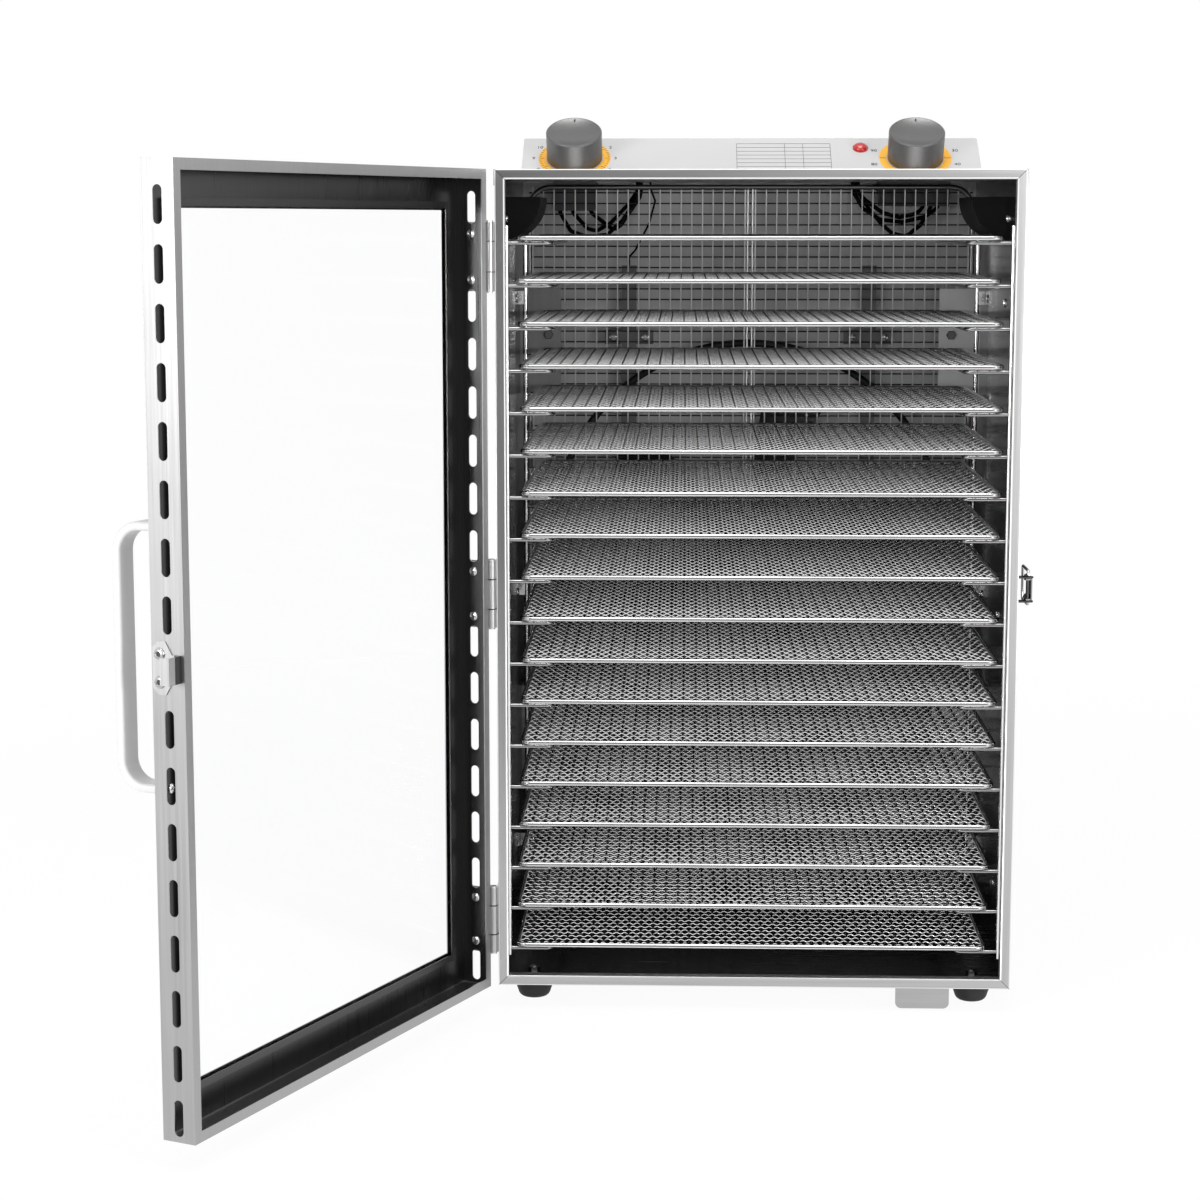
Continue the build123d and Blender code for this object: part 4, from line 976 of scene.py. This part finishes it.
# Rear cover: a blade pressed inwards from the upper edge of each slot
def cover_louvres():
    low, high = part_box("rear_cover")
    inner = high.y - COVER_T
    parts = []
    for row in range(SLOT_ROWS):
        edge = MID_Z + (row - (SLOT_ROWS - 1) / 2) * SLOT_PITCH + SLOT_H / 2
        section = [
            (inner, edge + BLADE_T), (inner, edge),
            (inner - BLADE_D, edge - BLADE_DROP), (inner - BLADE_D - BLADE_T, edge - BLADE_DROP)]
        vertices = []
        for x in (low.x + SLOT_SIDE, high.x - SLOT_SIDE):
            vertices += [Vector((x, y, z)) for y, z in section]
        parts.append((vertices, bands(2, len(section))))
    piece("rear_cover_louvres", parts, steel_across, "cabinet")


# Heater ring on its posts
def heater():
    low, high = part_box("heating_element")
    tube_r = HEATER_ROD / 2
    radius = (high.x - low.x) / 2 - tube_r
    y = low.y + tube_r
    ring = []
    for step in range(96):
        turn = 2 * pi * step / 96
        ring.append((radius * cos(turn), y, MID_Z + radius * sin(turn)))
    parts = [rod(ring, tube_r, 12, closed=True)]
    for quarter in range(4):
        turn = pi / 2 * quarter + HEATER_POST_TURN
        x = radius * cos(turn)
        z = MID_Z + radius * sin(turn)
        parts.append(rod([(x, y, z), (x, high.y, z)], HEATER_POST_R, 10))
    piece("heater_ring", parts, heater_tube, "cabinet", ["heating_element"])


# Leads: hanging loops from both switches to the top, and a thin one to a motor rail
def leads():
    under = TOP_Z - PAN_DROP - SHEET
    plane_y = BACK_Y - LEAD_BACK * MM
    parts = []
    for dial, depth, group in zip(DIAL_X, SWITCH_L, (TIMER_LEADS, THERMOSTAT_LEADS)):
        for turn, (start, hang, end) in enumerate(group):
            y = plane_y + LEAD_STEP * turn * MM
            outlet = on_panel(dial + start * MM, DIAL_S + LEAD_LOW * MM, -PANEL_T - depth * MM)
            path = [outlet, outlet - PANEL_OUT * LEAD_STUB * MM]
            for x, drop in [*hang, (end, LEAD_STUB), (end, 0)]:
                path.append(Vector((dial + x * MM, y, under - drop * MM)))
            parts.append(rod(bent(path, LEAD_BEND * MM, 6), LEAD_R * MM, 12))
    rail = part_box("motor_frame")
    rail_y = rail[0].y + LUG_T / 2
    path = []
    for x, drop in MOTOR_LEAD:
        path.append(Vector((x * MM - RAIL_X, plane_y + LEAD_STEP * MM, under - drop * MM)))
    path += [Vector((-RAIL_X, rail_y, rail[1].z + lift * MM)) for lift in (LEAD_STUB, 0)]
    parts.append(rod(bent(path, THIN_LEAD_BEND * MM, 6), THIN_LEAD_R * MM, 10))
    piece("switch_leads", parts, lead_cover, "cabinet", ["wiring"])


# Console: knobs, dial print, table and lamp
def knob(node, x):
    top = KNOB_H - KNOB_DISH
    profile = [
        (KNOB_R - KNOB_FOOT, 0), (KNOB_R, KNOB_FOOT),
        (KNOB_R, KNOB_H - KNOB_BEVEL), (KNOB_R - KNOB_BEVEL, KNOB_H),
        (KNOB_R - KNOB_RIM, KNOB_H - KNOB_RIM_DROP), (KNOB_R - KNOB_DISH_IN, top), (0.4 * MM, top)]
    place = panel_place(x, DIAL_S, KNOB_GAP)
    grip = moved(turned(profile, 96), place)
    piece(f"{node}_turned", [grip], knob_metal, node, [node])
    low = (-POINTER_HALF, KNOB_R - POINTER_IN[0], top - POINTER_DEEP)
    high = (POINTER_HALF, KNOB_R - POINTER_IN[1], top + POINTER_LIFT)
    pointer = moved(slab(low, high, POINTER_BEVEL), place)
    piece(f"{node}_pointer", [pointer], black_print, node)


def ring_plate(inner, outer, height, sides=96):
    vertices = []
    for reach, level in ((inner, 0.0), (outer, 0.0), (outer, height), (inner, height)):
        for step in range(sides):
            turn = 2 * pi * step / sides
            vertices.append(Vector((reach * cos(turn), reach * sin(turn), level)))
    return vertices, bands(4, sides, closed=True)


def dial_mark(x, turn, length):
    """A line across the dial ring, from its outer edge inwards."""
    end = RING_OUT - MARK_IN
    bar = slab((-MARK_W / 2, end - length, 0), (MARK_W / 2, end, 2 * PRINT_T), MARK_BEVEL)
    return moved(bar, panel_place(x, DIAL_S) @ Matrix.Rotation(turn, 4, "Z"))


def dial_print():
    for name, x in (("timer", DIAL_X[0]), ("thermostat", DIAL_X[1])):
        ring = moved(ring_plate(RING_IN, RING_OUT, PRINT_T), panel_place(x, DIAL_S))
        piece(f"{name}_dial_ring", [ring], gold_print, "cabinet")
    timer_marks = []
    for mark in range(60):
        length = MARK_LONG if mark % 5 == 0 else MARK_SHORT
        timer_marks.append(dial_mark(DIAL_X[0], 2 * pi * mark / 60, length))
    piece("timer_dial_marks", timer_marks, black_print, "cabinet")
    heat_marks = [dial_mark(DIAL_X[1], radians(turn), HEAT_MARK) for turn in HEAT_MARK_TURNS]
    piece("thermostat_dial_marks", heat_marks, black_print, "cabinet")


def printed_number(name, words, x, s, size):
    """One printed number as a thin mesh on the panel."""
    curve = bpy.data.curves.new(name, "FONT")
    curve.body = words
    curve.size = size
    curve.align_x = "CENTER"
    curve.align_y = "CENTER"
    curve.extrude = PRINT_T / 2
    holder = bpy.data.objects.new(name, curve)
    mesh = bpy.data.meshes.new_from_object(holder)
    bpy.data.objects.remove(holder)
    mesh.transform(panel_place(x, s, PRINT_T / 2))
    mesh.name = name
    dress(name, mesh, black_print, "cabinet")


def dial_numbers():
    reach = RING_OUT + NUMBER_OFF
    for hour in range(1, 13):
        turn = radians(90 - 30 * hour)
        x = DIAL_X[0] + reach * cos(turn)
        printed_number(f"timer_number_{hour:02d}", str(hour), x, DIAL_S - reach * sin(turn), NUMBER_H)
    heats = range(30, 100, 10)
    for count, heat in enumerate(heats):
        turn = radians(HEAT_FIRST - HEAT_SWEEP / (len(heats) - 1) * count)
        x = DIAL_X[1] + (reach + HEAT_NUMBER_OUT) * cos(turn)
        printed_number(f"heat_number_{heat}", str(heat), x, DIAL_S - reach * sin(turn), NUMBER_H)


def panel_table():
    """Ruled table with empty cells."""
    half = TABLE_LINE / 2
    low_s = TABLE_S + TABLE_ROW * TABLE_ROWS
    parts = []
    for x in TABLE_X:
        bar = slab((-half, TABLE_S - low_s, 0), (half, 0, PRINT_T), half / 4)
        parts.append(moved(bar, panel_place(x, TABLE_S)))
    for row in range(TABLE_ROWS + 1):
        bar = slab((TABLE_X[0], -half, 0), (TABLE_X[-1], half, PRINT_T), half / 4)
        parts.append(moved(bar, panel_place(0, TABLE_S + TABLE_ROW * row)))
    piece("panel_table_lines", parts, faint_print, "cabinet")


def lamp():
    profile = [(LAMP_R, 0), (LAMP_R, LAMP_NECK)]
    for step in range(9):
        turn = pi / 2 * step / 9
        level = LAMP_NECK + (LAMP_H - LAMP_NECK) * sin(turn)
        profile.append((LAMP_R * LAMP_DOME * cos(turn), level))
    profile.append((0.2 * MM, LAMP_H))
    lens = moved(turned(profile, 48), panel_place(LAMP_X, LAMP_S))
    piece("lamp_lens", [lens], red_lens, "cabinet", ["power_lamp"])


# Feet
def feet():
    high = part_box("feet")[1]
    spot_x = high.x - FOOT_R
    spot_y = high.y - FOOT_R
    profile = [(FOOT_LOW_R - inset * MM, level * MM) for inset, level in FOOT_EDGE]
    profile += [
        (FOOT_R - FOOT_BELLY, FOOT_H * 0.6), (FOOT_R, FOOT_H - FOOT_LIP), (FOOT_R - FOOT_LIP_IN, FOOT_H)]
    foot = turned(profile, 48)
    parts = []
    for x in (-spot_x, spot_x):
        for y in (-spot_y, spot_y):
            parts.append(moved(foot, Matrix.Translation((x, y, 0))))
    piece("rubber_feet", parts, rubber, "cabinet", ["feet"])


# Carry cup nuts
def dome_nuts():
    nut = turned(dome(NUT_R, NUT_H, NUT_FOOT), 24)
    parts = []
    for sign in (-1, 1):
        for y in (-NUT_Y, NUT_Y):
            at = (sign * (SIDE_X - SHEET), y, TOP_Z - NUT_DOWN)
            parts.append(moved(nut, facing(at, (-sign, 0, 0))))
    piece("cup_dome_nuts", parts, hardware, "cabinet", ["dome_nuts"])


# Door: bow handle, screw heads and keeper rivets
def bow_handle():
    low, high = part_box("door_handle")
    z = (low.z + high.z) / 2
    x = DOOR_W / 2 - BOW_IN
    reach = BOW_OUT - BOW_T / 2
    ends = BOW_L / 2 - BOW_LEG / 2
    corners = [
        (x, DOOR_Y_OUT, z - ends), (x, DOOR_Y_OUT - reach, z - ends),
        (x, DOOR_Y_OUT - reach, z + ends), (x, DOOR_Y_OUT, z + ends)]
    path = bent(corners, BOW_CORNER - BOW_T / 2, 12)
    section = rounded_loop(BOW_W, BOW_T, BOW_ROUND, 4)
    across = Vector((1, 0, 0))
    vertices = []
    for index, point in enumerate(path):
        ahead = path[min(index + 1, len(path) - 1)]
        behind = path[max(index - 1, 0)]
        out = (ahead - behind).normalized().cross(across)
        vertices += [point + across * spot.x + out * spot.y for spot in section]
    handle = moved((vertices, bands(len(path), len(section))), DOOR_PLACE)
    piece("bow_handle", [handle], white_plastic, "door", ["door_handle"])


def hex_head(radius, height):
    """Hexagon head along +Z with a chamfered top."""
    return turned([(radius, 0.0), (radius, height * 0.75), (radius * 0.82, height)], 6)


def door_screws():
    head = cross_head(HEAD_R, HEAD_H)
    slot_mid = DOOR_Y_IN - DOOR_T / 2
    parts = []
    for z in HINGE_Z:
        for end in (-1, 1):
            at = (-DOOR_W / 2 + SHEET, slot_mid, z + end * LEAF_H / 3)
            parts.append(moved(head, DOOR_PLACE @ facing(at, (1, 0, 0))))
    low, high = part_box("door_handle")
    for end in (-1, 1):
        z = (low.z + high.z) / 2 + end * (BOW_L - BOW_LEG) / 2
        at = (DOOR_W / 2 - BOW_IN, DOOR_Y_OUT + SHEET, z)
        parts.append(moved(head, DOOR_PLACE @ facing(at, (0, 1, 0))))
    piece("door_screw_heads", parts, hardware, "door", ["door_screws"])


def inner_screws():
    head = cross_head(HEAD_R, HEAD_H)
    bolt = hex_head(PLATE_BOLT_R, PLATE_BOLT_H)
    plate_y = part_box("guard_brackets")[0].y
    rail_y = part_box("motor_frame")[0].y
    parts = []
    bolts = []
    for sign in (-1, 1):
        for end in (-1, 1):
            at = (sign * PLATE_BOLT_X, plate_y, MID_Z + end * PLATE_BOLT_Z)
            bolts.append(moved(bolt, facing(at, (0, -1, 0))))
            for side in (-1, 1):
                at = (sign * RAIL_X + side * CLIP_SCREW, rail_y, MID_Z + end * CLIP_Z)
                parts.append(moved(head, facing(at, (0, -1, 0))))
        for into in WALL_SCREW_IN:
            for up in LUG_UP:
                at = (sign * (SIDE_X - SHEET), FRONT_Y + into, FLOOR_Z + up)
                parts.append(moved(head, facing(at, (-sign, 0, 0))))
    piece("inner_screw_heads", parts, hardware, "cabinet", ["pan_screws"])
    piece("plate_bolt_heads", bolts, steel_rail, "cabinet")


def keeper_rivets():
    low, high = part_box("keeper")
    rim = turned([(RIVET_R * share, level * MM) for share, level in RIVET_RIM], 32)
    # Black discs in the rivet holes: painted shade, in the black print finish
    hollow = turned([(RIVET_R * share, level * MM) for share, level in RIVET_HOLE_SHADE], 24)
    rims = []
    hole_shades = []
    for end in (-1, 1):
        at = (DOOR_W / 2 + KEEPER_T, DOOR_Y_IN - RIVET_IN, (low.z + high.z) / 2 + end * RIVET_Z)
        rims.append(moved(rim, DOOR_PLACE @ facing(at, (1, 0, 0))))
        hole_shades.append(moved(hollow, DOOR_PLACE @ facing(at, (1, 0, 0))))
    piece("keeper_rivets", rims, keeper_steel, "door")
    piece("keeper_rivet_hole_shade", hole_shades, black_print, "door")


# Latch bail: bent wire with both ends in the lever
def latch_bail():
    low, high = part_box("latch_bail")
    x = (low.x + high.x) / 2
    z = (low.z + high.z) / 2
    near = low.y + BAIL_R
    far = high.y - BAIL_R
    half = (high.z - low.z) / 2 - BAIL_R
    corners = [
        (x, near, z - BAIL_END), (x, near, z - half), (x, far, z - half),
        (x, far, z + half), (x, near, z + half), (x, near, z + BAIL_END)]
    parts = [rod(bent(corners, BAIL_BEND, 6), BAIL_R, 12)]
    piece("bent_wire_bail", parts, hardware, "latch_bail", ["latch_bail"])


front_frame()
trays()
rack("left", -1)
rack("right", 1)
rear_guard()
cover_louvres()
heater()
leads()
knob("timer_knob", DIAL_X[0])
knob("thermostat_knob", DIAL_X[1])
dial_print()
dial_numbers()
panel_table()
lamp()
feet()
dome_nuts()
bow_handle()
door_screws()
inner_screws()
keeper_rivets()
latch_bail()

# Finishes of the pieces that keep their solid
carried = {
    "side_panel_left": wall_steel,
    "side_panel_right": wall_steel,
    "floor_panel": floor_steel,
    "back_panel": back_steel,
    "top_cover": steel_across,
    "side_handle_left": black_plastic,
    "side_handle_right": black_plastic,
    "console_shell": panel_face,
    "control_panel": panel_face,
    "timer_body": switch_case,
    "thermostat_body": switch_case,
    "guard_brackets": plate_steel,
    "motor_frame": steel_rail,
    "fan": fan_metal,
    "fan_motor": motor_paint,
    "rear_cover": steel_across,
    "cord_inlet": black_plastic,
    "foot_bolts": hardware,
    "cabinet_hinge_leaves": steel_hinge,
    "door_hinge_leaves": steel_hinge,
    "hinge_pins": hardware,
    "latch_base": latch_dark,
    "latch_lever": latch_pale,
    "keeper": keeper_steel,
    "door_frame": door_steel,
    "glass_retainer": steel_retainer,
    "door_glass": pane_glass,
}
for node, material in carried.items():
    nodes[node].data.materials.clear()
    nodes[node].data.materials.append(material)


# Stage: pale floor, white surround and soft lamps
def sight(finish):
    """1 for what the camera sees directly, in a reflection or through glass."""
    rays = ("Is Camera Ray", "Is Glossy Ray", "Is Transmission Ray")
    camera_ray, glossy_ray, glass_ray = [finish.node("ShaderNodeLightPath", output=ray) for ray in rays]
    return (camera_ray + glossy_ray + glass_ray).clamped()


def pale_floor():
    """White floor that keeps a faint shadow near the object and is plain white further off."""
    finish = Finish("pale_floor")
    x, y = finish.axes()[:2]
    far = (((x * x + y * y) ** 0.5 - FAR_FROM) / FAR_RUN).clamped()
    bright = finish.node("ShaderNodeEmission", {}, {"Color": grey(1.0), "Strength": 1.0})
    matt = finish.node("ShaderNodeBsdfDiffuse", {}, {"Color": grey(0.95)})
    factor = sight(finish) * (1 - FLOOR_SHADOW + far * FLOOR_SHADOW)
    blend = finish.node("ShaderNodeMixShader", {}, {0: factor, 1: matt, 2: bright})
    finish.node("ShaderNodeOutputMaterial", {}, {"Surface": blend})
    half = FLOOR_SPAN / 2
    corners = [(-half, -half, 0), (half, -half, 0), (half, half, 0), (-half, half, 0)]
    mesh = bpy.data.meshes.new("floor")
    mesh.from_pydata(corners, [], [(0, 1, 2, 3)])
    mesh.materials.append(finish.owner)
    floor = bpy.data.objects.new("floor", mesh)
    scene.collection.objects.link(floor)


def white_surround():
    scene.world = bpy.data.worlds.new("white_surround")
    finish = Finish("white_surround", scene.world)
    white = finish.node("ShaderNodeBackground", {}, {"Color": grey(1.0), "Strength": 1.0})
    dim = finish.node("ShaderNodeBackground", {}, {"Color": grey(1.0), "Strength": 0.5})
    blend = finish.node("ShaderNodeMixShader", {}, {0: sight(finish), 1: dim, 2: white})
    finish.node("ShaderNodeOutputWorld", {}, {"Surface": blend})


def soft_lamp(name, at, towards, size, power):
    lamp_data = bpy.data.lights.new(name, "AREA")
    lamp_data.shape = "RECTANGLE"
    lamp_data.size = size[0]
    lamp_data.size_y = size[1]
    lamp_data.energy = power
    made = bpy.data.objects.new(name, lamp_data)
    made.location = at
    made.rotation_euler = (Vector(towards) - Vector(at)).to_track_quat("-Z", "Y").to_euler()
    scene.collection.objects.link(made)


pale_floor()
white_surround()
for lamp_name, setting in LAMPS.items():
    soft_lamp(lamp_name, *setting)

camera_data = bpy.data.cameras.new("camera")
camera_data.lens = CAMERA_LENS
camera_data.sensor_width = CAMERA_SENSOR
camera = bpy.data.objects.new("camera", camera_data)
camera.location = CAMERA_AT
camera.rotation_euler = (radians(90 - CAMERA_PITCH), 0, radians(CAMERA_YAW))
scene.collection.objects.link(camera)
scene.camera = camera
scene.view_settings.view_transform = "Standard"
